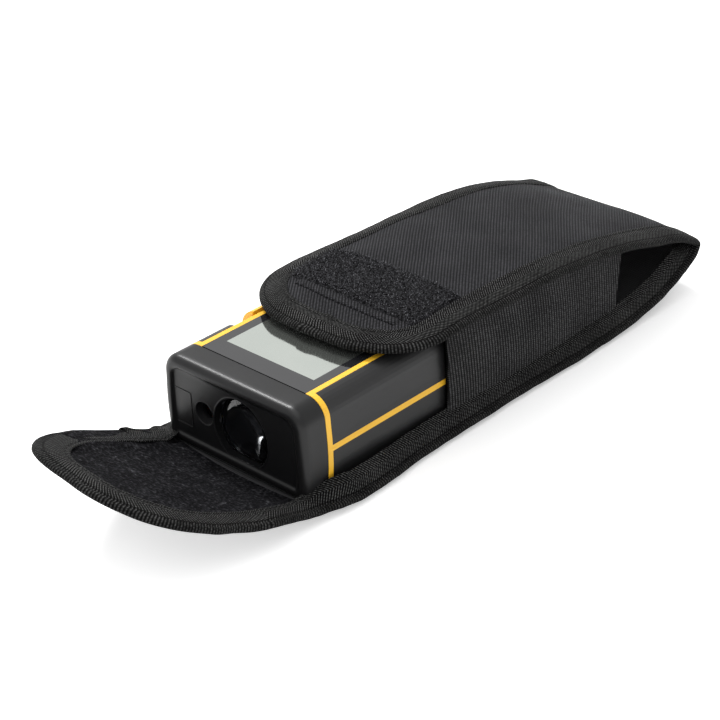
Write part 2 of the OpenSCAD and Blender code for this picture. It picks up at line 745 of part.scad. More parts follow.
at_origin() gusset_right();
at_origin() hook_patch();
at_origin() belt_loop();
at_origin() flap_wall_panel();
at_origin() flap_wall_lining();
at_origin() flap_wall_binding();
at_origin() flap_tip_panel();
at_origin() flap_tip_lining();
at_origin() flap_tip_binding();
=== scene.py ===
from math import acos, cos, pi, radians, sin

import bpy
import bmesh
import numpy as np
from mathutils import Matrix, Vector


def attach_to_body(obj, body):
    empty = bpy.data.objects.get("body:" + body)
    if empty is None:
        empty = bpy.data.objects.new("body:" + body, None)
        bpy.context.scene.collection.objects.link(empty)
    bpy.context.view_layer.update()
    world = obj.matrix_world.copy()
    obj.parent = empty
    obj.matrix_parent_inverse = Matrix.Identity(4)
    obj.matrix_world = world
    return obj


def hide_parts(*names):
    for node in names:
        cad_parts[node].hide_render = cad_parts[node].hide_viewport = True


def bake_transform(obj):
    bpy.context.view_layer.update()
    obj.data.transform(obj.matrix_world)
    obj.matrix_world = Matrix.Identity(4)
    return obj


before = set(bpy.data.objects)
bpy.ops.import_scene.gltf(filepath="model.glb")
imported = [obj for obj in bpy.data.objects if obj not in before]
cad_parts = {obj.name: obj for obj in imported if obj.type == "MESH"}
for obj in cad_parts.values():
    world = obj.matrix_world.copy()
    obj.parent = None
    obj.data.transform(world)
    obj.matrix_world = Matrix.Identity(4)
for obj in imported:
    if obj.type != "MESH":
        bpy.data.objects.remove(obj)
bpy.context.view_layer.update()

# The layout is in millimetres with y = 0 at the joint behind the nose cap and z = 0 on the table,
# as in the CAD source, and place() turns it into the frame.
THREAD_Y, REST_Z = 40.0, 2.85
ORIGIN = np.array([0.0, THREAD_Y, REST_Z])


def place(points):
    return (np.asarray(points, float) - ORIGIN) * 0.001


# ---- materials

class Val:
    """A socket that can be added, multiplied and so on to build shader maths."""

    def __init__(self, tree, out):
        self.tree, self.out = tree, out

    def op(self, kind, *others, clamp=False):
        n = self.tree.nodes.new("ShaderNodeMath")
        n.operation, n.use_clamp = kind, clamp
        for i, v in enumerate((self,) + others):
            if isinstance(v, Val):
                self.tree.links.new(v.out, n.inputs[i])
            else:
                n.inputs[i].default_value = v
        return Val(self.tree, n.outputs[0])

    def __add__(self, o): return self.op("ADD", o)
    def __sub__(self, o): return self.op("SUBTRACT", o)
    def __mul__(self, o): return self.op("MULTIPLY", o)
    def __truediv__(self, o): return self.op("DIVIDE", o)
    def ridge(self, sharp=1.0): return (self * pi).op("SINE").op("ABSOLUTE").op("POWER", sharp)
    def abs(self): return self.op("ABSOLUTE")
    def above(self, v): return self.op("MAXIMUM", v)
    def below(self, v): return self.op("MINIMUM", v)
    def clamp(self): return self.op("ADD", 0.0, clamp=True)


def grey(v, blue=1.0):
    return v, v, v * blue


class Nodes:
    """A node tree and short ways to fill it; lengths are in millimetres."""

    def __init__(self, tree):
        self.t = tree
        tree.nodes.clear()

    def node(self, kind, **inputs):
        n = self.t.nodes.new("ShaderNode" + kind)
        for k, v in inputs.items():
            n.inputs[k].default_value = v
        return n

    def link(self, out, inp):
        self.t.links.new(out.out if isinstance(out, Val) else out, inp)

    def feed(self, inp, v):
        """A socket is linked to an input, and a plain value set on it."""
        if isinstance(v, Val) or hasattr(v, "links"):
            self.link(v, inp)
        else:
            inp.default_value = (*v, 1.0) if inp.type == "RGBA" else v

    def where(self, kind="Object"):
        c = self.node("TexCoord")
        if kind == "UV":
            return c.outputs["UV"]
        m = self.node("Mapping", Scale=(1000, 1000, 1000))
        self.link(c.outputs[kind], m.inputs[0])
        return m.outputs[0]

    def split(self, vec):
        n = self.node("SeparateXYZ")
        self.link(vec, n.inputs[0])
        return [Val(self.t, o) for o in n.outputs]

    def join(self, *xyz):
        n = self.node("CombineXYZ")
        for inp, v in zip(n.inputs, xyz):
            self.feed(inp, v)
        return n.outputs[0]

    def noise(self, vec, scale, detail=2.0, rough=0.5, warp=0.0):
        n = self.node("TexNoise", Scale=scale, Detail=detail, Roughness=rough, Distortion=warp)
        self.link(vec, n.inputs["Vector"])
        return Val(self.t, n.outputs["Fac"])

    def cells(self, vec, scale):
        n = self.node("TexVoronoi", Scale=scale)
        self.link(vec, n.inputs["Vector"])
        return Val(self.t, n.outputs["Distance"])

    def ramp(self, fac, stops):
        """stops: (position, (r, g, b)) from first to last."""
        n = self.node("ValToRGB")
        e = n.color_ramp.elements
        while len(e) < len(stops):
            e.new(0.5)
        for el, (p, c) in zip(e, stops):
            el.position, el.color = p, (*c, 1.0)
        self.link(fac, n.inputs[0])
        return n.outputs[0]

    def greys(self, fac, *stops):
        """stops: (position, grey, blue's share)."""
        return self.ramp(fac, [(p, grey(v, blue)) for p, v, blue in stops])

    def mix(self, fac, a, b):
        n = self.node("Mix")
        n.data_type = "RGBA"
        for key, v in ((0, fac), (6, a), (7, b)):
            self.feed(n.inputs[key], v)
        return n.outputs[2]


class Mat(Nodes):
    """A Principled material built from procedural textures."""

    SOCKETS = {"color": "Base Color", "rough": "Roughness", "metal": "Metallic", "ior": "IOR",
               "clear": "Transmission Weight", "sheen": "Sheen Weight", "spec": "Specular IOR Level",
               "coat": "Coat Weight", "coat_rough": "Coat Roughness"}

    def __init__(self, name):
        self.m = bpy.data.materials.new(name)
        self.m.use_nodes = True
        super().__init__(self.m.node_tree)
        self.b = self.node("BsdfPrincipled")
        self.link(self.b.outputs[0], self.node("OutputMaterial").inputs[0])

    def set(self, **values):
        for k, v in values.items():
            self.feed(self.b.inputs[self.SOCKETS[k]], v)

    def bump(self, height, mm, strength=1.0):
        n = self.node("Bump", Strength=strength, Distance=mm * 0.001)
        self.link(height, n.inputs["Height"])
        self.link(n.outputs[0], self.b.inputs["Normal"])
        return self


def plastic(name, color, rough, grain=0.0025, grain_scale=9.0, ior=1.5, spread=0.1):
    """Moulded plastic: spark-eroded grain, slight cloudiness of gloss and tone."""
    m = Mat(name)
    p = m.where()
    big, fine = m.noise(p, 0.09, 3), m.noise(p, grain_scale, 3, 0.6)
    dark = [c * 0.86 for c in color]
    m.set(color=m.mix(big, dark, color), ior=ior,
          rough=(big * spread + fine * (spread * 0.6) + (rough - spread * 0.8)).clamp())
    return m.bump(fine, grain)


def metal(name, color, rough, stretch=(1, 1, 1), scale=1.0):
    m = Mat(name)
    x, y, z = m.split(m.where())
    p = m.join(x * stretch[0], y * stretch[1], z * stretch[2])
    brushed, big = m.noise(p, scale, 4, 0.65), m.noise(m.where(), 0.2, 3)
    m.set(color=m.mix(brushed, [c * 0.8 for c in color], color), metal=1.0,
          rough=(brushed * 0.2 + big * 0.12 + (rough - 0.14)).clamp())
    return m.bump(brushed, 0.01)


WINDOW_X, WINDOW_Z, WINDOW_R, CHORD_Z = 2.2, 11.5, 9.4, 3.75
PORT_X, PORT_Z, PORT_R = -10.8, 12.3, 3.1
NOSE_Y = -7.48


def square(v):
    return v * v


def cap_plastic():
    """Satin black; inside the laser port and the window's tunnel its gloss is turned down, painted shade of
    those recesses.
    """
    m = plastic("cap_plastic", (0.0075, 0.0075, 0.008), 0.36, 0.0016, 11.0, ior=1.4)
    x, y, z = m.split(m.where())
    deep = (y + (THREAD_Y - NOSE_Y - 0.06)).op("GREATER_THAN", 0.0)
    port, tunnel = ((square(x - x0) + square(z - z0)).op("LESS_THAN", r ** 2) for x0, z0, r in
                    ((PORT_X, PORT_Z, PORT_R), (WINDOW_X, WINDOW_Z, WINDOW_R + 0.2)))
    # painted shade: the port's and the tunnel's insides lose their gloss so that they read dark
    black = (port.op("MAXIMUM", tunnel) * deep).clamp()
    m.set(spec=(black * -0.46 + 0.5).clamp())
    return m


def gloss_panel():
    m = Mat("gloss_panel")
    p = m.where()
    smudge, dust = m.noise(p, 0.12, 4, 0.6, 0.6), m.noise(p, 3.0, 2)
    m.set(color=m.mix(smudge, (0.010, 0.010, 0.011), (0.016, 0.016, 0.018)), ior=1.9,
          rough=(smudge * 0.05 + 0.03).clamp())
    return m.bump(dust, 0.0004)


def lcd_glass():
    """The reflective liquid-crystal panel seen through its clear window."""
    m = Mat("lcd_glass")
    x, y, z = m.split(m.where())
    p = m.join(x, y, z)
    film = m.noise(m.join(x * 0.5, y * 2.2, z), 0.22, 3, 0.5, 1.2)
    haze = m.noise(p, 0.07, 2)
    cell = ((x / 0.6).ridge(8.0) + (y / 0.6).ridge(8.0)) * 0.02
    m.set(color=m.mix(haze + cell, (0.60, 0.645, 0.60), (0.69, 0.73, 0.68)), metal=0.93,
          rough=(film * 0.07 + 0.05).clamp(), coat=0.5, coat_rough=0.03)
    return m.bump(film, 0.02, 0.5)


def lens_glass(name, tint=(0.93, 0.96, 1.0)):
    m = Mat(name)
    smudge = m.noise(m.where(), 0.25, 3)
    m.set(color=m.mix(smudge, [c * 0.9 for c in tint], tint), clear=1.0, ior=1.56,
          rough=(smudge * 0.02).clamp())
    return m.bump(smudge, 0.002)


def rubber(name, color, rough=0.6):
    m = Mat(name)
    p = m.where()
    fine, big = m.noise(p, 7.0, 3, 0.6), m.noise(p, 0.3, 2)
    m.set(color=m.mix(big, [c * 0.8 for c in color], color), rough=(fine * 0.2 + (rough - 0.1)).clamp(),
          sheen=0.15)
    return m.bump(fine, 0.012)


def board():
    m = Mat("circuit_board")
    x, y, z = m.split(m.where())
    n = m.node("TexBrick", **{"Scale": 0.45, "Mortar Size": 0.035})
    m.link(m.join(x, y, z), n.inputs["Vector"])
    traces = Val(m.t, n.outputs["Fac"])
    pads = m.cells(m.join(x, y, z), 0.55).op("LESS_THAN", 0.16)
    base = m.mix(traces, (0.012, 0.11, 0.045), (0.03, 0.2, 0.08))
    m.set(color=m.mix(pads, base, (0.75, 0.62, 0.3)), rough=0.35, metal=pads)
    return m.bump(traces + pads, 0.03)


def cell_jacket():
    """A dry cell in a plain two-tone jacket."""
    m = Mat("cell_jacket")
    x, y, z = m.split(m.where())
    band = (y - (65.0 - THREAD_Y)).op("GREATER_THAN", 0.0)
    steel = (y - (97.0 - THREAD_Y)).op("GREATER_THAN", 0.0)
    brushed = m.noise(m.join(x * 0.2, y * 4.0, z * 0.2), 1.2, 3)
    two = m.mix(band, (0.62, 0.46, 0.2), (0.045, 0.05, 0.06))
    m.set(color=m.mix(steel, two, (0.75, 0.75, 0.76)), metal=0.75, rough=(brushed * 0.2 + 0.22).clamp())
    return m.bump(brushed, 0.02)


def ribbed_cloth(name, along, period, bead, tone, depth=0.22, highlight_gain=3.2, twine=0.7):
    """Nylon with a corded weave, its grooves painted darker and its cord tops painted lighter as shade and
    highlight. along(u, v) gives the coordinates across and along the cords.
    """
    m = Mat(name)
    u, v, _ = m.split(m.where("UV"))
    across, lengthwise = along(u, v)
    drift = m.noise(m.join(u * 0.05, v * 0.05), 1.0, 2) * 0.5
    n = across / period + drift
    cord = n.ridge(1.0)
    twist = (lengthwise / bead + n.op("FLOOR") * 0.5 + drift * 2.0).ridge(1.2)
    yarn = m.noise(m.join(across, lengthwise), 1.15, 3, 0.65)
    worn = m.noise(m.join(u, v), 0.06, 3, 0.55)
    h = cord * (twist * twine + (1 - twine))
    # colour follows the weave's height: painted shade in the grooves, painted highlight on the cords' tops,
    # mixed with yarn and wear tone
    lit = (h * 0.72 + yarn * 0.8 + worn * 0.4 - 0.48).clamp()
    # the last and brightest shade is the painted highlight on the cords' crests
    shades = [[c * k for c in tone] for k in (0.12, 0.4, 1.0, highlight_gain)]
    m.set(color=m.ramp(lit, list(zip((0.0, 0.28, 0.55, 1.0), shades))),
          rough=(yarn * 0.2 + 0.55).clamp(), spec=0.05)
    return m.bump(h + yarn * 0.25, depth, 1.0)


def tape_cloth():
    """Binding tape: cords square to the edge over the rim, turning to a chevron further in."""
    m = Mat("tape_cloth")
    u, v, _ = m.split(m.where("UV"))
    away = v.abs()
    tri = (away - 2.3).above(0.0).below(2.9) - (away - 5.2).above(0.0)
    jitter = m.noise(m.join(u * 0.2, v * 0.2), 1.0, 2) * 0.5
    n = (u + tri * 0.85) / 0.78 + jitter
    cord = n.ridge(1.3)
    beads = (v / 0.7 + n.op("FLOOR") * 0.5).ridge(0.9)
    yarn = m.noise(m.join(u, v), 1.2, 3, 0.65)
    worn = m.noise(m.join(u, v), 0.08, 3)
    rim = (away * -1.0 + 2.6).clamp()
    h = cord * (beads * 0.32 + 0.68) * (rim * -0.4 + 1.0) + rim * 0.24
    # painted shade: a dark line along the crease where the rim turns onto the flat leg
    crease_shade = ((away - 2.35).abs() * -3.5 + 1.0).clamp() * 0.3
    # colour follows the weave's height: painted shade in the grooves, painted highlight on the cords, with
    # yarn and wear tone
    lit = (h * 0.95 + yarn * 0.7 + worn * 0.3 - 0.55 - crease_shade).clamp()
    m.set(color=m.greys(lit, (0, 0.0006, 1), (0.35, 0.003, 1), (0.62, 0.019, 0.984), (1, 0.11, 0.982)),
          rough=(yarn * 0.2 + 0.5).clamp(), spec=0.03)
    return m.bump(h + yarn * 0.25, 0.25, 1.0)


def pile_cloth():
    """Napped loop pile; its colour follows the pile's height, with painted highlight specks on the loops
    and painted shade between them.
    """
    m = Mat("pile_cloth")
    u, v, _ = m.split(m.where("UV"))
    p = m.join(u, v)
    curls = m.cells(p, 1.2)
    fuzz, clump = m.noise(p, 1.4, 3, 0.75, 0.4), m.noise(p, 0.15, 2)
    h = curls * 0.5 + fuzz * 1.1
    # painted highlight and shade from the pile's height and clumps
    lit = (h * 1.4 + clump * 0.45 - 1.05).clamp()
    m.set(color=m.greys(lit, (0, 0.0015, 1.33), (0.35, 0.008, 1.15), (0.65, 0.03, 1.1), (1, 0.11, 1.09)),
          rough=0.92, spec=0.04)
    return m.bump(h, 0.5, 1.0)


def hook_cloth(name="hook_cloth", tone=0.002, spec=0.03):
    """Dark hook tape with painted glints: a noise lightens scattered spots of its colour."""
    m = Mat(name)
    p = m.where()
    curls, fuzz = m.cells(p, 1.6), m.noise(p, 2.0, 2, 0.7, 0.3)
    # the bright stops of the ramp are painted glints
    lit = (curls * 0.3 + fuzz * 1.3 - 0.36).clamp()
    m.set(color=m.greys(lit, (0, 0.0006, 1.67), (0.36, tone, 1.15), (0.5, tone * 7, 1.114),
                        (0.8, tone * 30, 1.067)),
          rough=(fuzz * 0.3 + 0.35).clamp(), spec=spec)
    return m.bump(curls + fuzz, 0.25, 0.8)


def lining_cloth():
    """Plain coated weave, the pouch's inside."""
    m = Mat("lining_cloth")
    u, v, _ = m.split(m.where("UV"))
    weave = (u / 0.7).ridge() * 0.5 + (v / 0.7).ridge() * 0.5
    soft = m.noise(m.join(u, v), 0.1, 3)
    m.set(color=m.mix(weave * soft, grey(0.032, 1.06), grey(0.09, 1.04)), rough=0.6, spec=0.1)
    return m.bump(weave, 0.08, 0.6)


def thread():
    m = Mat("thread")
    twist = m.noise(m.where(), 6.0, 2)
    m.set(color=m.mix(twist, grey(0.002), grey(0.02)), rough=0.6, spec=0.1)
    return m.bump(twist, 0.03)


# centre and radius of the painted pool of light in front of the flap
GLOW_X, GLOW_Y, GLOW_R = 8.0, -80.0, 75.0


def floor_paper():
    """White paper, a little overexposed to the camera by an even glow, with a painted pool of light in
    front of the flap that lightens the flap's shadow.
    """
    m = Mat("floor_paper")
    fibre = m.noise(m.where(), 0.35, 5, 0.6)
    m.set(color=m.mix(fibre, grey(0.9), grey(0.92)), rough=0.75, spec=0.2)
    x, y, _ = m.split(m.where())
    far = square(x - GLOW_X) + square(y - GLOW_Y)
    # painted light: the camera sees extra glow in a pool in front of the flap, which fades the flap's
    # shadow
    painted_light_pool = (far * (-1.0 / GLOW_R ** 2) + 1.0).clamp()
    seen = Val(m.t, m.node("LightPath").outputs["Is Camera Ray"])
    m.b.inputs["Emission Color"].default_value = (1, 1, 1, 1)
    m.link(seen * (painted_light_pool * painted_light_pool * 0.24 + 0.33), m.b.inputs["Emission Strength"])
    return m.bump(fibre, 0.01)


housing = plastic("housing", (0.013, 0.013, 0.0135), 0.42, 0.004, 8.0, ior=1.45)
yellow = plastic("yellow", (0.9, 0.5, 0.03), 0.4, 0.0016, 8.0)
cap = cap_plastic()
dark = plastic("dark_plastic", (0.012, 0.012, 0.013), 0.5, 0.006, 6.0)
film = plastic("film", (0.72, 0.73, 0.70), 0.45, 0.003, 5.0)
panel, lcd = gloss_panel(), lcd_glass()
glass, small_glass = lens_glass("lens_glass"), lens_glass("port_glass", (0.5, 0.2, 0.2))
key_yellow = rubber("key_yellow", (0.93, 0.46, 0.02), 0.5)
key_grey = rubber("key_grey", (0.055, 0.055, 0.06))
steel = metal("screw_steel", (0.35, 0.35, 0.36), 0.35, (1, 1, 0.1), 3.0)
tin = metal("tin", (0.72, 0.73, 0.74), 0.3, (1, 0.1, 1), 2.0)
brass = metal("brass", (0.78, 0.57, 0.24), 0.3, (0.2, 0.2, 3.0), 2.0)
green, jacket = board(), cell_jacket()
strip_cloth = ribbed_cloth("strip_cloth", lambda u, v: (u * 0.783 + v * 0.622, v * 0.783 - u * 0.622), 0.8,
                           0.62, (0.0225, 0.0225, 0.0245))
side_cloth = ribbed_cloth("side_cloth", lambda u, v: (u, v), 1.02, 0.6, (0.0185, 0.0185, 0.0188),
                          0.3, 6.0, 0.4)
tape, pile, hooks, lining = tape_cloth(), pile_cloth(), hook_cloth(), lining_cloth()
sewing = thread()

def dress_cad():
    """Gives the CAD pieces that stay visible their materials and smooth shading."""
    kinds = [
        (housing, "front_cap base_shell rear_cap grip_upper_left grip_upper_right battery_cover"),
        (yellow, "core_upper core_lower side_key"), (panel, "display_cover keypad_panel"),
        (lcd, "lcd_window"), (small_glass, "laser_window"), (glass, "receiver_lens laser_lens"),
        (key_yellow, "key_measure"), (film, "dome_sheet backlight lcd_panel"),
        (key_grey, "key_plus key_minus key_area key_function key_memory key_unit key_clear"),
        (green, "main_board sensor_board"),
        (tin, "processor_can contact_plates contact_springs photodiode"),
        (dark, "buzzer battery_tray optics_block"), (steel, "board_screws case_screws"),
        (brass, "laser_tube tripod_nut laser_diode"), (jacket, "battery_left battery_right"),
    ]
    for material, names in kinds:
        for n in names.split():
            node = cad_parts[n]
            node.data.materials.clear()
            node.data.materials.append(material.m)
            smooth_by_angle(node, 32)


# ---- mesh helpers

SIDES = ((-1, "left"), (1, "right"))


def unit(v):
    return v / np.maximum(np.linalg.norm(v, axis=-1, keepdims=True), 1e-9)


def travel(points):
    """How far along a line of points each one lies."""
    return np.concatenate([[0], np.cumsum(np.linalg.norm(np.diff(points, axis=0), axis=1))])


def attach(o, body, replaced=None):
    """The look a piece takes, the body it moves with and the CAD piece it stands for."""
    if replaced:
        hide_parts(replaced)
    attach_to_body(o, body)


def new_mesh(name, verts, faces, material, uvs=None, smooth=True):
    """verts in layout millimetres; uvs one (u, v) in millimetres for every vertex."""
    me = bpy.data.meshes.new(name)
    me.from_pydata(place(verts).tolist(), [], faces)
    me.materials.append(material.m)
    if uvs is not None:
        corners = np.zeros(len(me.loops), int)
        me.loops.foreach_get("vertex_index", corners)
        layer = me.uv_layers.new(name="cloth")
        layer.data.foreach_set("uv", np.asarray(uvs, np.float32)[corners].ravel())
    me.polygons.foreach_set("use_smooth", [smooth] * len(me.polygons))
    me.update()
    o = bpy.data.objects.new(name, me)
    bpy.context.scene.collection.objects.link(o)
    return o


def with_bmesh(o, work):
    bm = bmesh.new()
    bm.from_mesh(o.data)
    work(bm)
    bm.to_mesh(o.data)
    bm.free()
    return o


def outward_faces(o):
    return with_bmesh(o, lambda bm: bmesh.ops.recalc_face_normals(bm, faces=bm.faces))


def smooth_by_angle(o, degrees):
    """Shades curved faces smoothly and keeps edges sharper than the angle."""
    def mark(bm):
        for e in bm.edges:
            e.smooth = len(e.link_faces) == 2 and e.calc_face_angle(0) < radians(degrees)
    o.data.polygons.foreach_set("use_smooth", [True] * len(o.data.polygons))
    with_bmesh(o, mark)


def grid_faces(rows, cols, base=0, flip=False, wrap=False):
    out = []
    for i in range(rows - 1):
        for j in range(cols if wrap else cols - 1):
            a, b = base + i * cols + j, base + i * cols + (j + 1) % cols
            c, d = base + (i + 1) * cols + (j + 1) % cols, base + (i + 1) * cols + j
            out.append((a, d, c, b) if flip else (a, b, c, d))
    return out


def grid_normals(p, around=False, closed=False):
    """Unit normals of a grid of points; its columns (around) or rows (closed) may be loops."""
    a = np.roll(p, -1, 0) - np.roll(p, 1, 0) if closed else np.gradient(p, axis=0)
    b = np.roll(p, -1, 1) - np.roll(p, 1, 1) if around else np.gradient(p, axis=1)
    return unit(np.cross(a, b))


def finish_grid(o, normals):
    """Gives a mesh its smooth normals and turns its faces to agree with them."""
    me = o.data
    flat = normals.reshape(-1, 3)
    agree = sum(p.normal.dot(Vector(flat[p.vertices[0]])) for p in me.polygons)
    if agree < 0:
        me.flip_normals()
    me.normals_split_custom_set_from_vertices(flat.tolist())
    return o


def sheet(name, top, low, uv, material, ghost=(0, 0), back=None):
    """A closed sheet between two matching grids of points (rows, cols, 3). Ghost rows at the ends
    only steer the normals: they are dropped, and that end is left open to meet its neighbour."""
    g0, g1 = ghost
    keep = slice(g0, len(top) - g1)
    up = grid_normals(top)
    up *= np.sign(np.sum(up * (top - low)))
    down = grid_normals(low)
    down *= -np.sign(np.sum(down * (top - low)))
    top, low, uv, up, down = top[keep], low[keep], uv[keep], up[keep], down[keep]
    r, c = top.shape[:2]
    n = r * c
    verts = np.concatenate([top.reshape(-1, 3), low.reshape(-1, 3)])
    faces = grid_faces(r, c) + grid_faces(r, c, n, True)
    k = np.arange(n).reshape(r, c)
    for line in [k[::-1, 0], k[:, -1]] + ([] if g0 else [k[0]]) + ([] if g1 else [k[-1, ::-1]]):
        faces += [(n + a, n + b, b, a) for a, b in zip(line[:-1].tolist(), line[1:].tolist())]
    uvs = np.concatenate([uv.reshape(-1, 2)] * 2)
    o = new_mesh(name, verts, faces, material, uvs)
    if back:
        o.data.materials.append(back.m)
        inner = (r - 1) * (c - 1)
        for k in range(inner, 2 * inner):
            o.data.polygons[k].material_index = 1
    return finish_grid(outward_faces(o), np.concatenate([up.reshape(-1, 3), down.reshape(-1, 3)]))


def tube(name, loops, uv, material, closed=False, ghost=(0, 0)):
    """A skin over cross-sections (stations, points, 3), each closed on itself."""
    normals = grid_normals(loops, True, closed)
    normals *= np.sign(np.sum(normals * (loops - loops.mean(1, keepdims=True))))
    g0, g1 = ghost
    keep = slice(g0, len(loops) - g1)
    loops, uv, normals = loops[keep], uv[keep], normals[keep]
    r, c = loops.shape[:2]
    shut = np.concatenate([loops, loops[:, :1]], axis=1)
    normals = np.concatenate([normals, normals[:, :1]], axis=1)
    faces = grid_faces(r, c + 1)
    if closed:
        faces += [((r - 1) * (c + 1) + j, (r - 1) * (c + 1) + j + 1, j + 1, j) for j in range(c)]
    if not closed and not g0:
        faces.append(tuple(range(c - 1, -1, -1)))
    if not closed and not g1:
        faces.append(tuple((r - 1) * (c + 1) + j for j in range(c)))
    return finish_grid(new_mesh(name, shut.reshape(-1, 3), faces, material, uv.reshape(-1, 2)), normals)


# ---- the pouch's surface

POUCH_HALF, CLOTH_T, CROWN = 30.0, 1.4, 2.3
FOLD_Y = -10.4
STRIP = [
    (18, 31.5), (29, 33.1), (41, 34.6), (53, 35.1), (67, 34.9), (81, 33.9), (94, 32.4),
    (104, 31.2), (112, 29.9), (121, 27.7), (130, 24.8), (139, 20.9), (145, 17.6),
    (149, 14.6), (149.3, 12.6), (145, 9.8), (139, 7), (130, 3.9), (120, 2), (110, 1.2),
    (98, 1), (70, 1), (40, 1), (15, 1), (-6, 1),
]


def rise(y):
    return 0.354 * np.maximum(0.0, FOLD_Y - y) ** 1.1


def corner_cut(p, times):
    p = np.asarray(p, float)
    for _ in range(times):
        q = [p[0]]
        for a, b in zip(p[:-1], p[1:]):
            q += [a * 0.75 + b * 0.25, a * 0.25 + b * 0.75]
        p = np.array(q + [p[-1]])
    return p


FLAP = [(y, 1.05 + float(rise(y))) for y in (-10, -14, -19, -25, -32, -40, -48, -56, -66)]
LINE = corner_cut(STRIP + FLAP, 3)
LENGTH = travel(LINE)
TURN = int(np.argmax(LINE[:, 0]))
SIDE = unit(np.gradient(LINE, LENGTH, axis=0))[:, ::-1] * (-1, 1)
S_TURN = LENGTH[TURN]


def s_top(y):
    return np.interp(y, LINE[:TURN, 0], LENGTH[:TURN])


def s_low(y):
    return np.interp(-np.asarray(y, float), -LINE[TURN:, 0], LENGTH[TURN:])


def ease(t):
    t = np.clip(t, 0, 1)
    return t * t * (3 - 2 * t)


# how far the edges rise or sag from the plain shape, by y
EDGE_L = ([-62, -50, -44.6, -40, -32, -24, -16, -12, -8, -5, 0, 4],
          [2.8, 2.3, 2.2, 2.95, 3.4, 4.0, 4.4, 4.4, 2.1, 1.1, 0.3, 0])
EDGE_R = ([-60, -50, -40, -30, -20, -10, -3, 4, 12, 34, 45, 70, 80, 100, 130, 140, 148],
          [-1.2, -1.2, -1.1, -0.3, 1.2, 1.6, 0.9, 0.2, 0, 0.1, 0.3, 0.3, 0.0, 0.0, 0.15, 0.4, 0])
TOP_L = ([18, 26, 32, 38, 44, 50, 62, 68, 75, 86, 92, 98, 104, 110, 116, 122, 129, 135, 142, 148],
         [0, -0.25, -0.7, -1.0, -1.3, -1.8, -2.5, -2.7, -2.5, -1.75, -1.0, -0.35, 0.2, 0.6, 0.6, 0.35, 0.3,
          0.9, 2.3, 2.0])
TOP_R = ([40, 50, 60, 75, 90, 105], [0, -0.6, -1.2, -1.2, -0.5, 0])
# how far the right edge is drawn in, and how the back fold tilts across
WAIST_R = ([-50, -43, -39, -35, -31, -26, -20, -15, -10, -6, -2, 4, 14, 18, 23, 28, 70, 80],
           [0, 0.6, 0.8, 1.35, 1.0, 0.5, 0.5, 0.9, 0.5, -0.1, -0.9, -1.1, -0.95, -0.85, -0.5, 0, 0.1, 0])
FOLD_TILT = ([-30, -18, -6, 0, 8, 16, 24, 30], [-0.9, -1.0, -0.75, -0.55, 0.2, 1.05, 1.5, 1.6])


def surf(s, x, d=0.0):
    """Layout point at distance s along the strip, x across it, d below its outer face."""
    s, x, d = np.broadcast_arrays(np.asarray(s, float), np.asarray(x, float), np.asarray(d, float))
    y, z = np.interp(s, LENGTH, LINE[:, 0]), np.interp(s, LENGTH, LINE[:, 1])
    ny, nz = np.interp(s, LENGTH, SIDE[:, 0]), np.interp(s, LENGTH, SIDE[:, 1])
    upper = np.where(s < S_TURN + 14, 1.0, 0.0)
    crown = CROWN * np.clip((z - 8) / 14, 0, 1) * upper
    drop = crown * np.minimum(np.abs(x) / POUCH_HALF, 1.1) ** 4
    soft = np.clip((z - 4) / 12, 0.08, 1)
    wave = soft * (0.24 * np.sin(s / 15.0 + 0.6) * np.cos(x / 11.0 + 0.5)
                   + 0.14 * np.sin(s / 6.7 + x / 9.0 + 1.0) + 0.07 * np.sin(x / 3.9 - s / 5.1))
    off = wave - d - drop
    low = ease((s - S_TURN) / 6.0)
    right = np.clip(x / 28, 0, 1.15)
    lift = low * (np.interp(y, *EDGE_L) * np.clip(-x / 27, 0, 1.15) ** 2
                  + np.interp(y, *EDGE_R) * np.where(y > 12, right ** 4, right ** 2)
                  - 0.0018 * x * np.maximum(0, FOLD_Y - y))
    x0 = x - low * np.interp(y, *WAIST_R) * right ** 3
    lift = lift + np.interp(x, *FOLD_TILT) * ease((s - s_top(126.0)) / 16.0) * ease((S_TURN + 7 - s) / 9.0)
    high = s < S_TURN
    share = np.clip(np.abs(x) / 30, 0, 1.1) ** 3 * ease((S_TURN - s) / 8.0)
    lift = lift + np.where(high, share * np.where(x < 0, np.interp(y, *TOP_L), np.interp(y, *TOP_R)), 0.0)
    # the fold at the back runs a little askew
    skew = 3.0 * ease((32 - x) / 42.0) * ease((y - 108) / 36.0)
    return np.stack([x0 + 0 * y, y + ny * off + skew, z + nz * off + lift + 0.2 * skew], axis=-1)


def facing(s, x, step=0.35):
    """Outward unit direction of the strip's surface."""
    along = surf(s + step, x) - surf(s - step, x)
    across = surf(s, x + step) - surf(s, x - step)
    return unit(np.cross(across, along))


# outline of the front panel's rounded end, as in the CAD source
END_Y, END_L, END_FLAT, END_POW = 38.0, 20.0, 8.0, 1.75


def end_point(a, m):
    s, c = np.sin(a), np.cos(a)
    half = END_FLAT * ease(np.abs(s) * 3) + (POUCH_HALF - END_FLAT - m) * np.abs(s) ** (2 / END_POW)
    return np.sign(s) * half, END_Y - (END_L - m) * np.abs(c) ** (2 / END_POW)


def end_half(y, m):
    t = np.clip((END_Y - y) / (END_L - m), 0, 1)
    return END_FLAT + (POUCH_HALF - END_FLAT - m) * (1 - t ** END_POW) ** (1 / END_POW)


# the edges drift from the pouch's width to the flap's around the front fold
FLAP_MID, FLAP_HALF, TIP_Y, TIP_L, TIP_POW = 2.6, 28.2, -11, 51.0, 2.9


def edge_x(side, y, m):
    t = ease((-3 - y) / 15.0)
    return FLAP_MID * t + side * (POUCH_HALF - (POUCH_HALF - FLAP_HALF) * t - m)


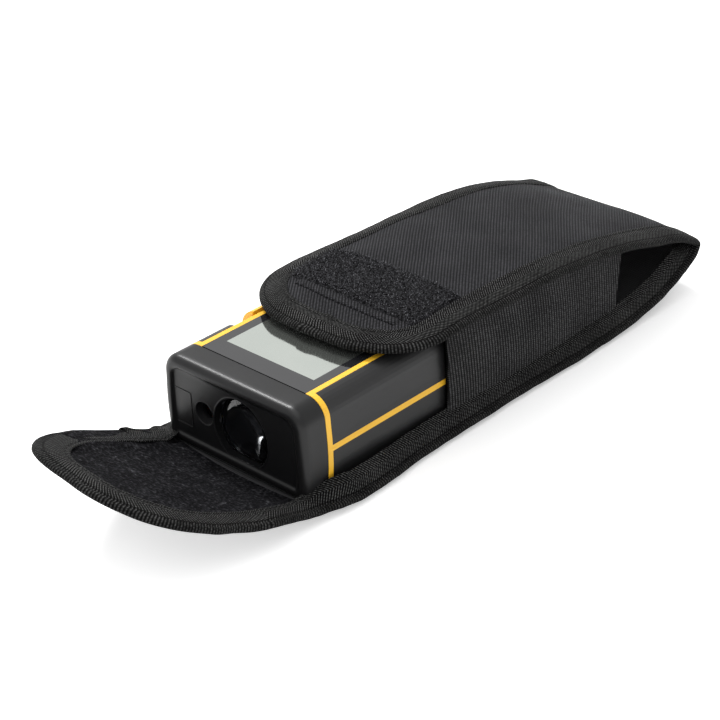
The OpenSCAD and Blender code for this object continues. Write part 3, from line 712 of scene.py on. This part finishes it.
def flap_half(y, m):
    u = np.clip((TIP_Y - y) / (TIP_L - m), 0, 1)
    return (FLAP_HALF - m) * (1 - u ** TIP_POW) ** (1 / TIP_POW)


def tip_point(a, m):
    s, c = np.sin(a), np.cos(a)
    return (FLAP_MID + np.sign(s) * (FLAP_HALF - m) * np.abs(s) ** (2 / TIP_POW),
            TIP_Y - (TIP_L - m) * np.abs(c) ** (2 / TIP_POW))


# ---- binding tape

# flat leg on the outer face, then the rolled rim; (distance in from the edge, depth)
OUTER_LEG = [(8.0, 0.5), (8.05, -0.02), (7.8, -0.28), (7.2, -0.38), (6.75, -0.16), (6.3, -0.38),
             (5.0, -0.48), (3.5, -0.46), (2.2, -0.46), (1.1, -0.38), (0.45, -0.12), (0.05, 0.25),
             (-0.06, 0.7), (0.04, 1.15), (0.38, 1.55), (0.85, 1.7)]
# second leg, along itself and above it
INNER_LEG = [(0.15, 0.04), (0.55, 0.34), (1.5, 0.46), (2.8, 0.46), (4.1, 0.44), (4.7, 0.38), (5.0, 0.18),
             (5.3, 0.36), (5.8, 0.3), (6.1, 0.1), (5.95, -0.12), (4.0, -0.16), (2.0, -0.14), (0.9, -0.1)]
CLOSING = [(2.0, 1.0), (6.0, 0.9)]
ROOT = (1.1, 1.42)
SEAM_OUT, SEAM_IN, RIM = 4, len(OUTER_LEG) + 6, 12


def ripple(t, a=1.0):
    """Irregular waviness along a seam."""
    return a * (0.45 * np.sin(t / 1.37 + 0.4) + 0.35 * np.sin(t / 0.83 + 1.9) + 0.35 * np.sin(t / 2.9)
                + 0.2 * np.sin(t / 0.47 + 2.2))


def tape_loops(stations, lifts, start=0.0, sense=1.0, dents=(), lap=None):
    """stations: functions m -> (s, x); lifts: angle of the inner leg off the cloth;
    dents: (x, y, radius, height) places where the tape stands up or sinks;
    lap: (stations, mm) how far the first stations stand off the piece they lie over."""
    rows = []
    for lift in lifts:
        c, s_ = cos(lift), sin(lift)
        pts = list(OUTER_LEG)
        for r, h in INNER_LEG:
            pts.append((ROOT[0] + r * c - h * s_, ROOT[1] + r * s_ + h * c))
        rows.append(pts + CLOSING)
    rows = np.array(rows)
    r, c = rows.shape[:2]
    ss, xx = np.zeros((r, c)), np.zeros((r, c))
    for k, at in enumerate(stations):
        ss[k], xx[k] = at(rows[k, :, 0])
    base = surf(ss, xx, 0.0)
    n = facing(ss, xx)
    mid = surf(*[np.array(v) for v in zip(*[at(np.array([TAPE_MID])) for at in stations])])[:, 0]
    run = travel(mid)
    pts = base - n * rows[..., 1:2]
    where = mid[:, 1] + 0.9 * mid[:, 0] + 0.8 * mid[:, 2]
    edge_dir = unit(base[:, 1] - base[:, RIM])
    inner = np.clip(rows[..., 0] / 8.0, 0, 1)
    sway = ripple(where / 2.4, 0.16)[:, None] * (1 - inner) + ripple(where * 0.9, 0.14)[:, None] * inner
    pts += edge_dir[:, None, :] * sway[..., None]
    if lap:
        # swell the section about its middle so that it wraps the tape beneath
        grow = 1 - ease(np.arange(r) / lap[0])
        away = unit(pts - pts.mean(1, keepdims=True))
        pts += (away * 0.35 + n * 0.65) * (lap[1] * grow)[:, None, None]
        outer = np.exp(-((np.arange(c) - RIM) / 3.0) ** 2)
        pts -= edge_dir[:, None, :] * (0.3 * lap[1] * grow[:, None] * outer[None])[..., None]
    # thread pull: puckers along both seam lines, and a looser upper edge where the leg stands
    k = np.arange(c)
    at_out = np.exp(-((k - SEAM_OUT) / 1.6) ** 2)
    at_in = np.exp(-((k - SEAM_IN - 1) / 2.4) ** 2)
    loose = 0.6 + 1.0 * np.sin(np.array(lifts))
    puff = (ripple(where * 1.3 + 0.5, 0.09)[:, None] * at_out[None]
            + (ripple(where * 1.15, 0.15) * loose)[:, None] * at_in[None]
            + ripple(where / 3.2, 0.08)[:, None] * np.where(k < RIM, 1.0, 0.3)[None])
    for x0, y0, radius, tall in dents:
        far = ((pts[..., 0] - x0) ** 2 + (pts[..., 1] - y0) ** 2) / radius ** 2
        puff += tall * np.exp(-far)
    pts += n * puff[..., None]
    # texture coordinate across: 0 at the rim, negative on the outer leg
    seg = np.linalg.norm(np.diff(np.array(OUTER_LEG[:RIM + 1]), axis=0), axis=1)
    v_outer = list(-np.concatenate([np.cumsum(seg[::-1])[::-1], [0]])) + [0.45, 0.95, 1.45]
    v = np.array(v_outer + [1.6 + p[0] for p in INNER_LEG] + [8.5, -8.9])
    uv = np.stack([np.repeat((start + sense * run)[:, None], c, 1), np.repeat(v[None], r, 0)], axis=-1)
    uv = np.concatenate([uv, np.stack([uv[:, 0, 0], uv[:, 0, 1] - 0.4], -1)[:, None]], axis=1)
    return pts, uv, run[-1]


def station(s, side, edge, y):
    """One place along an edge: m in from it gives (s, x)."""
    return lambda m: (s + 0 * m, edge(side, y, m))


def straight(side, ys, where, edge):
    return [station(where(y), side, edge, y) for y in ys]


def rounded(angles, point, where, lean=None):
    """Stations around a rounded end; lean tilts each one's line across the tape."""
    def at(a, k):
        def f(m):
            x, y = point(a + k * (np.clip(m, 0, 8) - 4), m)
            return where(y), x
        return f
    return [at(a, k) for a, k in zip(angles, lean or [0.0] * len(angles))]


# how far the inner leg leans off the cloth: hardly where it lies flat, much at the side walls
LEG_FLAT, LEG_UP = radians(8), radians(62)
TAPE_STEP, TAPE_MID = 0.9, 3.0
FLAP_START, FLAP_SPLIT = -8.9, -25.0


def lift_at(s):
    """How far the tape's inner leg stands off the cloth where it is sewn to the side wall."""
    y = np.interp(s, LENGTH, LINE[:, 0])
    if s < S_TURN:
        return LEG_FLAT * float(ease((y - 40) / 6.0))
    return LEG_FLAT + (LEG_UP - LEG_FLAT) * float(ease((y + 16) / 22.0) * ease((s - S_TURN) / 9.0))


def sewn_tape(name, stations, replaced, ghost=(1, 1), start=0.0, sense=1.0, dents=(), lap=None):
    """One piece of binding with its stitches; returns both so that the caller can attach them."""
    lifts = [lift_at(float(f(np.array([TAPE_MID]))[0][0])) for f in stations]
    pts, uv, length = tape_loops(stations, lifts, start, sense, dents, lap)
    o = tube("tape_" + name, pts, uv, tape, ghost=ghost)
    if replaced:
        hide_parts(replaced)
    keep = slice(ghost[0], len(pts) - ghost[1])
    n = grid_normals(pts, True)
    n *= np.sign(np.sum(n * (pts - pts.mean(1, keepdims=True))))
    lines = [(pts[keep, i] + n[keep, i] * 0.06, n[keep, i]) for i in (SEAM_OUT, SEAM_IN)]
    sewn = stitch_lines("stitches_" + name, lines)
    return o, sewn, start + sense * length


def spread(point, turn):
    """Turns of a rounded end from -turn to turn, evenly spaced along the tape's middle."""
    many = np.linspace(-turn, turn, 1201)
    d = travel(np.column_stack(point(many, TAPE_MID)))
    return np.interp(np.linspace(0, d[-1], max(2, int(round(d[-1] / TAPE_STEP)) + 1)), d, many)


JOIN_Y = 43.8


def build_tapes():
    # front panel's rounded end and on to the mouth's corners
    a = spread(end_point, pi / 2)
    ys = np.arange(JOIN_Y + TAPE_STEP, END_Y + 0.4, -TAPE_STEP)
    dents = [(-8.5, 28.0, 1.5, -0.9), (-11.8, 27.2, 1.8, 0.35), (7.5, 23.5, 3.5, 0.25),
             (-12.0, 24.0, 3.0, 0.25), (14.0, 24.0, 4.0, 0.2), (-3.0, 23.0, 2.6, -0.15)]
    k = int(np.argmin(np.abs(end_point(a, TAPE_MID)[0] - 2.2)))
    under = straight(-1, ys, s_top, edge_x) + rounded(a[:k + 1], end_point, s_top)
    lean = [0.016 * (1 - i / 5) for i in range(5)]
    over = (rounded(a[k - 3:k + 2], end_point, s_top, lean) + rounded(a[k + 2:], end_point, s_top)
            + straight(1, ys[::-1], s_top, edge_x))
    o, sewn, reach = sewn_tape("front", under, "binding_front", dents=dents)
    o2, sewn2, reach = sewn_tape("front_lap", over, None, start=reach - 2.6, dents=dents, ghost=(0, 1),
                                 lap=(5, 0.5))
    for piece in (o, sewn, o2, sewn2):
        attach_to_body(piece, "pouch")
    # the long edges, around the fold at the back
    s0, s1 = float(s_top(JOIN_Y)), float(s_low(FLAP_START))
    ss = np.linspace(s0, s1, int(s1 - s0))
    step = ss[1] - ss[0]
    ss = np.concatenate([[s0 - step], ss, [s1 + step]])
    ends = {}
    for side, name in SIDES:
        st = []
        for s in ss:
            y = float(np.interp(s, LENGTH, LINE[:, 0]))
            st.append(station(s, side, edge_x, y if s > S_TURN and y < 17 else 17.0))
        o, sewn, ends[side] = sewn_tape(name, st, "binding_" + name, start=reach if side > 0 else 0.0,
                                        sense=side)
        for piece in (o, sewn):
            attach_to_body(piece, "pouch")
    # flap: a short run over the fold on each side, then one piece around the tip
    ys = np.arange(FLAP_START + TAPE_STEP, FLAP_SPLIT - 1.0, -TAPE_STEP)
    fold, tip = [], []
    for side, name in SIDES:
        st = straight(side, ys, s_low, flap_edge)
        dents = [(-25.4, -22.5, 2.4, -0.9)] if side < 0 else ()
        o, sewn, _ = sewn_tape("fold_" + name, st, "flap_wall_binding" if side < 0 else None,
                               start=ends[side] - side, sense=side, dents=dents)
        fold += [o, sewn]
    cut_y = float(ys[-2])
    a = spread(tip_point, acos(((TIP_Y - cut_y) / (TIP_L - TAPE_MID)) ** (TIP_POW / 2)))
    ys = [cut_y + TAPE_STEP, cut_y]
    st = (straight(-1, ys, s_low, flap_edge) + rounded(a[1:-1], tip_point, s_low)
          + straight(1, ys[::-1], s_low, flap_edge))
    o, sewn, _ = sewn_tape("tip", st, "flap_tip_binding", start=ends[-1])
    tip += [o, sewn]
    return fold, tip


def flap_edge(side, y, m):
    """Edge of the flap near its fold: the drift in width and then the rounded outline."""
    a = edge_x(side, y, m)
    b = FLAP_MID + side * flap_half(y, m)
    t = ease((TIP_Y - y) / 6.0)
    return a * (1 - t) + b * t


# ---- cloth sheets

def build_strip():
    """The outer cloth: front panel, fold and back panel in one piece."""
    inset = 5.0
    tip_rows = [END_Y - (END_L - inset) * cos(radians(k)) ** (2 / END_POW)
                for k in range(0, 90, 6)]
    rows = [(float(s_top(y)), float(end_half(y, inset))) for y in tip_rows]
    s0, s1 = float(s_top(END_Y)), float(s_low(FLAP_START))
    for s in np.linspace(s0, s1, int((s1 - s0) / 1.6)):
        rows.append((s, POUCH_HALF - inset))
    cols = np.linspace(-1, 1, 49)
    ss = np.array([[r[0]] * len(cols) for r in rows])
    xx = np.array([[r[1] * c for c in cols] for r in rows])
    n = facing(ss, xx)
    # between the tape's legs the cloth is squeezed a little thinner
    squeeze = 0.12 * ease((np.abs(xx) - 21) / 3.0)
    top, low = surf(ss, xx, squeeze), surf(ss, xx, CLOTH_T - squeeze)
    o = sheet("pouch_cloth", top, low, np.stack([xx, ss], -1), strip_cloth, back=lining)
    attach(o, "pouch", "pouch_strip")


def gusset_rows(side, outer):
    u, t = np.meshgrid(np.linspace(0, 1, 50), np.linspace(0, 1, 22), indexing="ij")
    y0, y1 = 41.6 + 0.5 * np.sin(pi * t), 112.0 + 3.2 * t ** 1.5
    y = y0 + (y1 - y0) * u
    top = surf(s_top(y), side * 26.3, CLOTH_T)[..., 2] + 0.3
    low = 2.3 + 0.6 * ease((y - 100) / 20)
    z = low + (top - low) * t
    bulge = 0.55 * np.sin(pi * t) * np.sin(pi * np.minimum(1, u * 1.15 + 0.06))
    foot, head = 1.6 * ease((6.5 - z) / 4.0), 0.5 * ease((z - top + 3.5) / 3.5)
    x = 26.0 + bulge + foot + head + (0.55 if outer else -0.55) + 0.08 * np.sin(y / 3.7 + z / 5.0)
    return np.stack([side * x, y, z], -1), np.stack([y + 0.003 * z * z, z], -1)


def build_gussets():
    for side, name in SIDES:
        a, uv = gusset_rows(side, True)
        b, _ = gusset_rows(side, False)
        o = sheet("side_wall_" + name, a, b, uv, side_cloth)
        attach(o, "pouch", "gusset_" + name)


def flap_sheet(name, y0, y1, d0, d1, material, inset, puff=0.0, ghost=(1, 1)):
    ys = np.linspace(y0, y1, int(abs(y1 - y0)) + 2)
    step = ys[1] - ys[0]
    ys = np.concatenate([[y0 - step] if ghost[0] else [], ys, [y1 + step] if ghost[1] else []])
    cols = np.linspace(-1, 1, 41)
    over = ease((-13 - ys) / 4.0) * ease((ys + 49) / 5.0) * (1.0 if puff else 0.0)
    left = np.array([flap_edge(-1, y, inset - (inset - 0.8) * k) for y, k in zip(ys, over)])
    right = np.array([flap_edge(1, y, inset) for y in ys])
    xx = left[:, None] * (1 - (cols + 1) / 2) + right[:, None] * ((cols + 1) / 2)
    ss = np.repeat(s_low(ys)[:, None], len(cols), 1)
    n = facing(ss, xx)
    base = surf(ss, xx, 0.0)
    soft = puff * (1 - np.abs(cols) ** 4)[None, :] * ease((-9.5 - ys) / 4.0)[:, None]
    if puff:
        # along the left edge the pile lies over the binding almost to the rim
        m = xx - np.array([float(flap_edge(-1, y, 0.0)) for y in ys])[:, None]
        lap = over * (0.78 - 0.45 * np.exp(-((ys + 22.5) / 5.0) ** 2))
        soft = soft + lap[:, None] * ease((10.5 - m) / 3.5) * ease((m - 0.7) / 0.9)
    top, low = base - n * d0, base - n * (d1 + soft[..., None])
    return sheet(name, top, low, np.stack([xx, ss], -1), material, ghost)


def build_flap(fold_tapes, tip_tapes):
    tip_end = TIP_Y - (TIP_L - 5.5) + 0.05
    fold_out = flap_sheet("flap_cloth_fold", -8.6, FLAP_SPLIT, 0.0, 0.72, strip_cloth, 5.0)
    fold_in = flap_sheet("flap_lining_fold", -8.6, FLAP_SPLIT, 0.7, 1.45, pile, 5.0, 0.3)
    tip_out = flap_sheet("flap_cloth_tip", FLAP_SPLIT, tip_end, 0.0, 0.72, strip_cloth, 5.0, ghost=(1, 0))
    tip_in = flap_sheet("flap_lining_tip", FLAP_SPLIT, tip_end, 0.7, 1.45, pile, 5.0, 0.3, ghost=(1, 0))
    for out, lining_in, body in ((fold_out, fold_in, "flap_wall"), (tip_out, tip_in, "flap_tip")):
        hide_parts(body + "_panel")
        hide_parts(body + "_lining")
    for parts, a, b, start, end in (
            ([fold_out, fold_in] + fold_tapes, "pouch", "flap_wall", (0, FLAP_START, 1.2), (0, -22.5, 1.2)),
            ([tip_out, tip_in] + tip_tapes, "flap_wall", "flap_tip", (0, -36.6, 14.8), (0, -42.6, 17.9))):
        for o in parts:
            tuple(place(start))
            tuple(place(end))
            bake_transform(o)


# ---- hook patch, seam, loop

HOOK_Y0, HOOK_Y1 = 34.7, 52.9


def build_patch():
    rng = np.random.default_rng(11)
    ys, cols = np.linspace(HOOK_Y0, HOOK_Y1, 52), np.linspace(-1, 1, 92)
    half = np.minimum(22.6, end_half(ys, 7.4))
    xx = half[:, None] * cols[None]
    yy = np.repeat(ys[:, None], len(cols), 1)
    ss = s_top(yy)
    n = facing(ss, xx)
    rough = rng.normal(0, 0.16, xx.shape)
    edge = np.minimum(ease((1 - np.abs(cols)) / 0.06)[None],
                      ease(np.minimum(ys - HOOK_Y0, HOOK_Y1 - ys) / 1.2)[:, None])
    top = surf(ss, xx, 0) + n * (0.15 + edge * (0.65 + rough))[..., None]
    low = surf(ss, xx, 0) - n * 0.25
    base = sheet("hook_patch_base", top, low, np.stack([xx, ss], -1), hooks)
    attach(base, "pouch", "hook_patch")
    # the hooks themselves: bent stalks standing in slightly broken rows
    verts, faces = [], []
    step = 0.66
    for y in np.arange(HOOK_Y0 + 0.5, HOOK_Y1 - 0.4, step):
        w = float(min(22.2, end_half(y, 7.9)))
        for x in np.arange(-w, w, step):
            px, py = x + rng.normal(0, 0.15), y + rng.normal(0, 0.15)
            if abs(px) > w or rng.random() < 0.06:
                continue
            s = float(s_top(py))
            p, nn = surf(s, px, 0), facing(np.array(s), np.array(px))
            turn = rng.uniform(0, 2 * pi)
            side = unit(np.cross(nn, [cos(turn), sin(turn), 0.0]))
            across = np.cross(nn, side)
            tall, reach = rng.uniform(0.4, 0.85), rng.uniform(0.15, 0.32)
            stalk = ((0.0, 0.1, 0.10), (0.02, 0.55 * tall, 0.09), (0.18, 0.9 * tall, 0.085),
                     (reach, tall, 0.08), (reach * 1.7, 0.72 * tall, 0.045))
            b = len(verts)
            for q, h, thick in stalk:
                c = p + nn * (0.5 + h) + side * q
                verts += [c + across * thick, c - side * thick, c - across * thick, c + side * thick]
            faces += grid_faces(5, 4, b, wrap=True) + [(b + 16, b + 17, b + 18, b + 19)]
    o = new_mesh("hooks", np.array(verts), faces, hook_cloth("hook_stalks", 0.01, 0.2))
    outward_faces(o)
    attach(o, "pouch")


def build_seam():
    """A piped ridge across the front panel, in front of the hook patch."""
    xs = np.linspace(-18.2, 18.0, 90)
    ys = 33.3 - 0.9 * np.cos(xs / 18 * pi / 2) + 0.15 * np.sin(xs / 3.1)
    rows, uv = [], []
    prof = np.array([(-1.0, -0.25), (-1.05, 0.2), (-0.8, 0.55), (-0.1, 0.66), (0.8, 0.5), (1.7, 0.2),
                     (2.1, -0.3), (-0.9, -0.4)])
    for x, y in zip(xs, ys):
        s = s_top(y + prof[:, 0])
        base = surf(s, x + 0 * s, 0.0)
        n = facing(s, x + 0 * s)
        fade = float(ease((18.3 - abs(x)) / 2.0))
        rows.append(base + n * (prof[:, 1] * fade - 0.12 * (1 - fade))[:, None])
        uv.append([(x, p[0]) for p in prof] + [(x, prof[0][0])])
    o = tube("panel_seam", np.array(rows), np.array(uv), strip_cloth)
    attach(o, "pouch")


def capsule_verts(p, q, r, nn):
    """A short stitch from p to q, six-sided, bowed along nn."""
    d = q - p
    length = np.linalg.norm(d)
    d = d / length
    a = unit(np.cross(d, nn))
    b = np.cross(a, d)
    verts = []
    for t, k, up in ((0, 0.35, -0.5), (0.15, 0.9, 0.3), (0.5, 1.0, 0.8), (0.85, 0.9, 0.3), (1, 0.35, -0.5)):
        c = p + d * length * t + nn * r * up
        for j in range(6):
            w = j * pi / 3
            verts.append(c + (a * cos(w) + b * sin(w)) * r * k)
    return verts, grid_faces(5, 6, wrap=True) + [tuple(range(5, -1, -1)), tuple(range(24, 30))]


def stitch_lines(name, lines, pitch=2.3, length=1.6, r=0.13):
    """Lock stitches along lines of (points, normals)."""
    verts, faces = [], []
    for points, normals in lines:
        d = travel(points)
        at = lambda t, arr: np.array([np.interp(t, d, arr[:, k]) for k in range(3)])
        for t in np.arange(0.4, d[-1] - length, pitch):
            nn = at(t + length / 2, normals)
            v, f = capsule_verts(at(t, points), at(t + length, points), r, unit(nn))
            b = len(verts)
            verts += v
            faces += [tuple(b + i for i in g) for g in f]
    o = new_mesh(name, np.array(verts), faces, sewing)
    return outward_faces(o)


def build_belt_loop():
    ys = np.linspace(52, 106, 70)
    xs = np.linspace(-19, 19, 30)
    yy, xx = np.meshgrid(ys, xs, indexing="ij")
    sewn = ease((57 - ys) / 3.0) + ease((ys - 101) / 3.0)
    sag = (0.10 * np.sin((ys - 52) / 54 * pi))[:, None] * (1 + 0.2 * np.cos(xx / 6))
    z1 = 0.60 + 0.18 * sewn[:, None] + 0 * xx
    z0 = 0.06 + 0.16 * sewn[:, None] - sag * 0.4
    top, low = np.stack([xx, yy, z1], -1), np.stack([xx, yy, z0], -1)
    o = sheet("belt_webbing", top, low, np.stack([yy, xx], -1), tape)
    attach(o, "pouch", "belt_loop")


# ---- nose cap

HALF, H = 25.0, 25.7


def outline(d, e=0.0, dense=10):
    """Meter's rounded section shrunk by d and then squeezed by e towards its middle."""
    pts = []
    for i in range(dense + 5):
        a = radians(90 - i * 88 / (dense + 4))
        pts.append((HALF - 5.7 + (5.3 - d) * cos(a), H - 5.4 + (5.4 - d) * sin(a)))
    for i in range(1, 10):
        z = (H - 7.2) + (4.2 - (H - 7.2)) * i / 9
        q = (z - 11.4) / 8
        pts.append((HALF - 0.4 - d + 0.4 * (1 - q * q), z))
    for i in range(1, dense):
        a = -radians(90) * i / (dense - 1)
        pts.append((HALF - 3.6 + (3.2 - d) * cos(a), 3.2 + (3.2 - d) * sin(a)))
    left = [(-x, z) for x, z in reversed(pts)]
    top = [(x, H - d) for x in np.linspace(-(HALF - 5.7), HALF - 5.7, 18)[1:-1]]
    low = [(x, d) for x in np.linspace(HALF - 3.6, -(HALF - 3.6), 18)[1:-1]]
    full = np.array(pts + low + left + top)
    if e > 0:
        mid = np.array([0.0, H / 2])
        size = np.array([HALF - d, H / 2 - d])
        full = mid + (full - mid) * (1 - e / size)
    return full


def loft(rings):
    """A closed solid through rings of points."""
    r, n = len(rings), len(rings[0])
    faces = grid_faces(r, n, wrap=True) + [tuple(range(n - 1, -1, -1)), tuple(range((r - 1) * n, r * n))]
    return np.concatenate(rings), faces


def circle(x, z, r, y, steps):
    a = 2 * pi * np.arange(steps) / steps
    return layer(np.column_stack([x + r * np.cos(a), z + r * np.sin(a)]), y)


def layer(xz, y):
    """An (x, z) outline of the meter set up at y."""
    return np.column_stack([xz[:, 0], np.full(len(xz), y), xz[:, 1] + REST_Z])


def ring(y, d, e=0.0):
    return layer(outline(d, e), y)


def window_outline(grow, n=64):
    """Circle with its lower side cut flat and softly cornered, as (x, z) rows."""
    a = 2 * pi * np.arange(n) / n
    x, z = WINDOW_X + (WINDOW_R + grow) * np.cos(a), WINDOW_Z + (WINDOW_R + grow) * np.sin(a)
    chord = CHORD_Z - grow
    return np.column_stack([x, np.where(z < chord, chord - 0.04 * (chord - z), z)])


def cut(target, verts, faces):
    """Takes one solid out of another for good."""
    tool = outward_faces(new_mesh("cutter", verts, faces, cap, smooth=False))
    mod = target.modifiers.new("cut", "BOOLEAN")
    mod.operation, mod.object, mod.solver = "DIFFERENCE", tool, "EXACT"
    view = bpy.context.evaluated_depsgraph_get()
    done = bpy.data.meshes.new_from_object(target.evaluated_get(view))
    target.modifiers.clear()
    target.data = done
    bpy.data.objects.remove(tool)


def rim(name, path, prof):
    """A raised bead on the nose. path: (x, z, outward x, outward z); prof: (outwards, y) steps."""
    loops = [[(x + g * ox, NOSE_Y + h, z + g * oz + REST_Z) for g, h in prof] for x, z, ox, oz in path]
    uv = [[(k, j) for j in range(len(prof) + 1)] for k in range(len(path))]
    o = tube(name, np.array(loops), np.array(uv, float), cap, closed=True)
    attach(o, "meter")


def turns(n, from_deg=0.0, step_deg=None):
    """(cos, sin) pairs round a circle, or along an arc of it."""
    step = step_deg or 360.0 / n
    a = [radians(from_deg + step * k) for k in range(n)]
    return [(cos(v), sin(v)) for v in a]


def build_cap():
    """The nose cap, from its inner face out over the rim, with the window and the port cut in."""
    steps = [(-5.35, 2.3, 3.0), (-5.3, 1.7), (-2.0, 1.6), (-0.2, 1.6),
             (-0.2, 0.35), (-0.3, 0.02), (-0.9, 0.0), (-3.2, 0.0), (-5.4, 0.0)]
    r = 2.3
    for k in range(1, 11):
        a = radians(9 * k)
        steps.append((-6.0 - r * sin(a), r * (1 - cos(a))))
    steps += [(-8.3, 2.3, 0.25), (-8.22, 2.3, 0.55), (-8.0, 2.3, 0.85), (-7.72, 2.3, 1.1),
              (-7.56, 2.3, 1.4), (-7.5, 2.3, 1.8), (-7.48, 2.3, 3.0)]
    o = outward_faces(new_mesh("nose_cap", *loft([ring(*step) for step in steps]), cap))
    xz = window_outline(0.0)
    cut(o, *loft([layer(xz, y) for y in (-9.5, -4.0)]))
    cut(o, *loft([circle(PORT_X, PORT_Z, r, y, 40) for y, r in
                  ((-9.2, 3.55), (-7.42, 3.2), (-6.6, 2.25), (-6.2, 1.9), (-4.0, 1.9))]))
    smooth_by_angle(o, 35)
    attach(o, "meter", "front_cap")
    pts = window_outline(0.0, 96)
    rim("window_bezel", np.column_stack([pts, window_outline(1.0, 96) - pts]),
        [(0.02, 0.6), (0.0, 0.06), (0.08, -0.06), (0.26, -0.08), (0.42, -0.02), (0.55, 0.06), (0.4, 0.4)])
    rim("port_rim", [(PORT_X + 3.2 * c, PORT_Z + 3.2 * s_, c, s_) for c, s_ in turns(48)],
        [(-0.02, 0.3), (-0.03, 0.0), (0.03, -0.07), (0.14, -0.07), (0.26, 0.02), (0.2, 0.3)])
    # blank moulded frame left of the port
    path = []
    for k, (x, z) in enumerate(((-15.9, 7.0), (-15.9, 15.9), (-21.2, 15.9), (-21.2, 7.0))):
        path += [(x + 0.5 * c, z + 0.5 * s_, c, s_) for c, s_ in turns(5, 90 * k - 90, 22.5)]
    rim("label_frame", path, [(-0.16, 0.1), (-0.12, -0.1), (0.0, -0.17), (0.12, -0.1), (0.16, 0.1)])


def build_lens():
    """Receiver lens: a domed disc cut flat below, with a stepped rim."""
    prof = [(0.02, -6.95), (1.5, -6.92), (3.0, -6.82), (4.5, -6.62), (6.0, -6.34), (7.4, -5.98),
            (8.3, -5.7), (8.5, -5.5), (8.55, -5.75), (9.1, -5.75), (9.25, -5.6), (9.25, -4.2),
            (8.0, -3.8), (0.02, -3.8)]
    rings = [circle(WINDOW_X, WINDOW_Z, r, y, 64) for r, y in prof]
    for row, (r, _) in zip(rings, prof):
        row[:, 2] = np.maximum(row[:, 2], CHORD_Z + 0.15 + (9.25 - r) * 0.25 + REST_Z)
    o = outward_faces(new_mesh("receiver_glass", *loft(rings), glass))
    smooth_by_angle(o, 25)
    attach(o, "meter", "receiver_lens")


# ---- stage

def build_stage():
    w = 6000.0
    corners = np.array([(-w, -w, 0), (w, -w, 0), (w, w, 0), (-w, w, 0)]) + (0, THREAD_Y, 0)
    new_mesh("floor", corners, [(0, 1, 2, 3)], floor_paper())

    world = bpy.data.worlds.new("studio")
    bpy.context.scene.world = world
    world.use_nodes = True
    w = Nodes(world.node_tree)
    soft = w.node("Background", Strength=0.9)
    plain = w.node("Background", Color=(1, 1, 1, 1), Strength=1.1)
    height = w.split(w.node("NewGeometry").outputs["Incoming"])[2] * -0.5 + 0.5
    w.link(w.greys(height, (0, 0.5, 1), (0.5, 0.75, 1), (0.58, 0.95, 1), (1, 0.85, 1)), soft.inputs[0])
    mixer = w.node("MixShader")
    seen = w.node("LightPath").outputs["Is Camera Ray"]
    for source, inp in zip((seen, soft.outputs[0], plain.outputs[0]), mixer.inputs):
        w.link(source, inp)
    w.link(mixer.outputs[0], w.node("OutputWorld").inputs[0])

    sc = bpy.context.scene
    for name, at, target, size, watts in (
            ("key_softbox", (-0.62, 0.12, 0.95), (0, 0, 0), 0.35, 12.0),
            ("top_softbox", (0.1, -0.35, 1.1), (0, 0, 0.01), 1.2, 4.5)):
        lamp = bpy.data.lights.new(name, "AREA")
        lamp.shape, lamp.size, lamp.energy = "SQUARE", size, watts
        o = bpy.data.objects.new(name, lamp)
        sc.collection.objects.link(o)
        o.location = at
        o.rotation_euler = (Vector(target) - Vector(at)).to_track_quat("-Z", "Y").to_euler()

    sc.view_settings.view_transform = "Standard"
    sc.view_settings.look = "None"
    sc.view_settings.exposure = 0.0

    turn = Matrix.Identity(4)
    for degrees, axis in ((44.32, "Z"), (90 - 29.67, "X"), (-2.41, "Z")):
        turn = turn @ Matrix.Rotation(radians(degrees), 4, axis)
    data = bpy.data.cameras.new("camera")
    data.lens, data.sensor_width = 99.4, 36.0
    data.clip_start, data.clip_end = 0.01, 20
    cam = bpy.data.objects.new("camera", data)
    sc.collection.objects.link(cam)
    cam.matrix_world = Matrix.Translation((0.3137, -0.3236, 0.26745)) @ turn
    sc.camera = cam


dress_cad()
build_cap()
build_lens()
build_strip()
build_gussets()
build_flap(*build_tapes())
build_patch()
build_seam()
build_belt_loop()
build_stage()
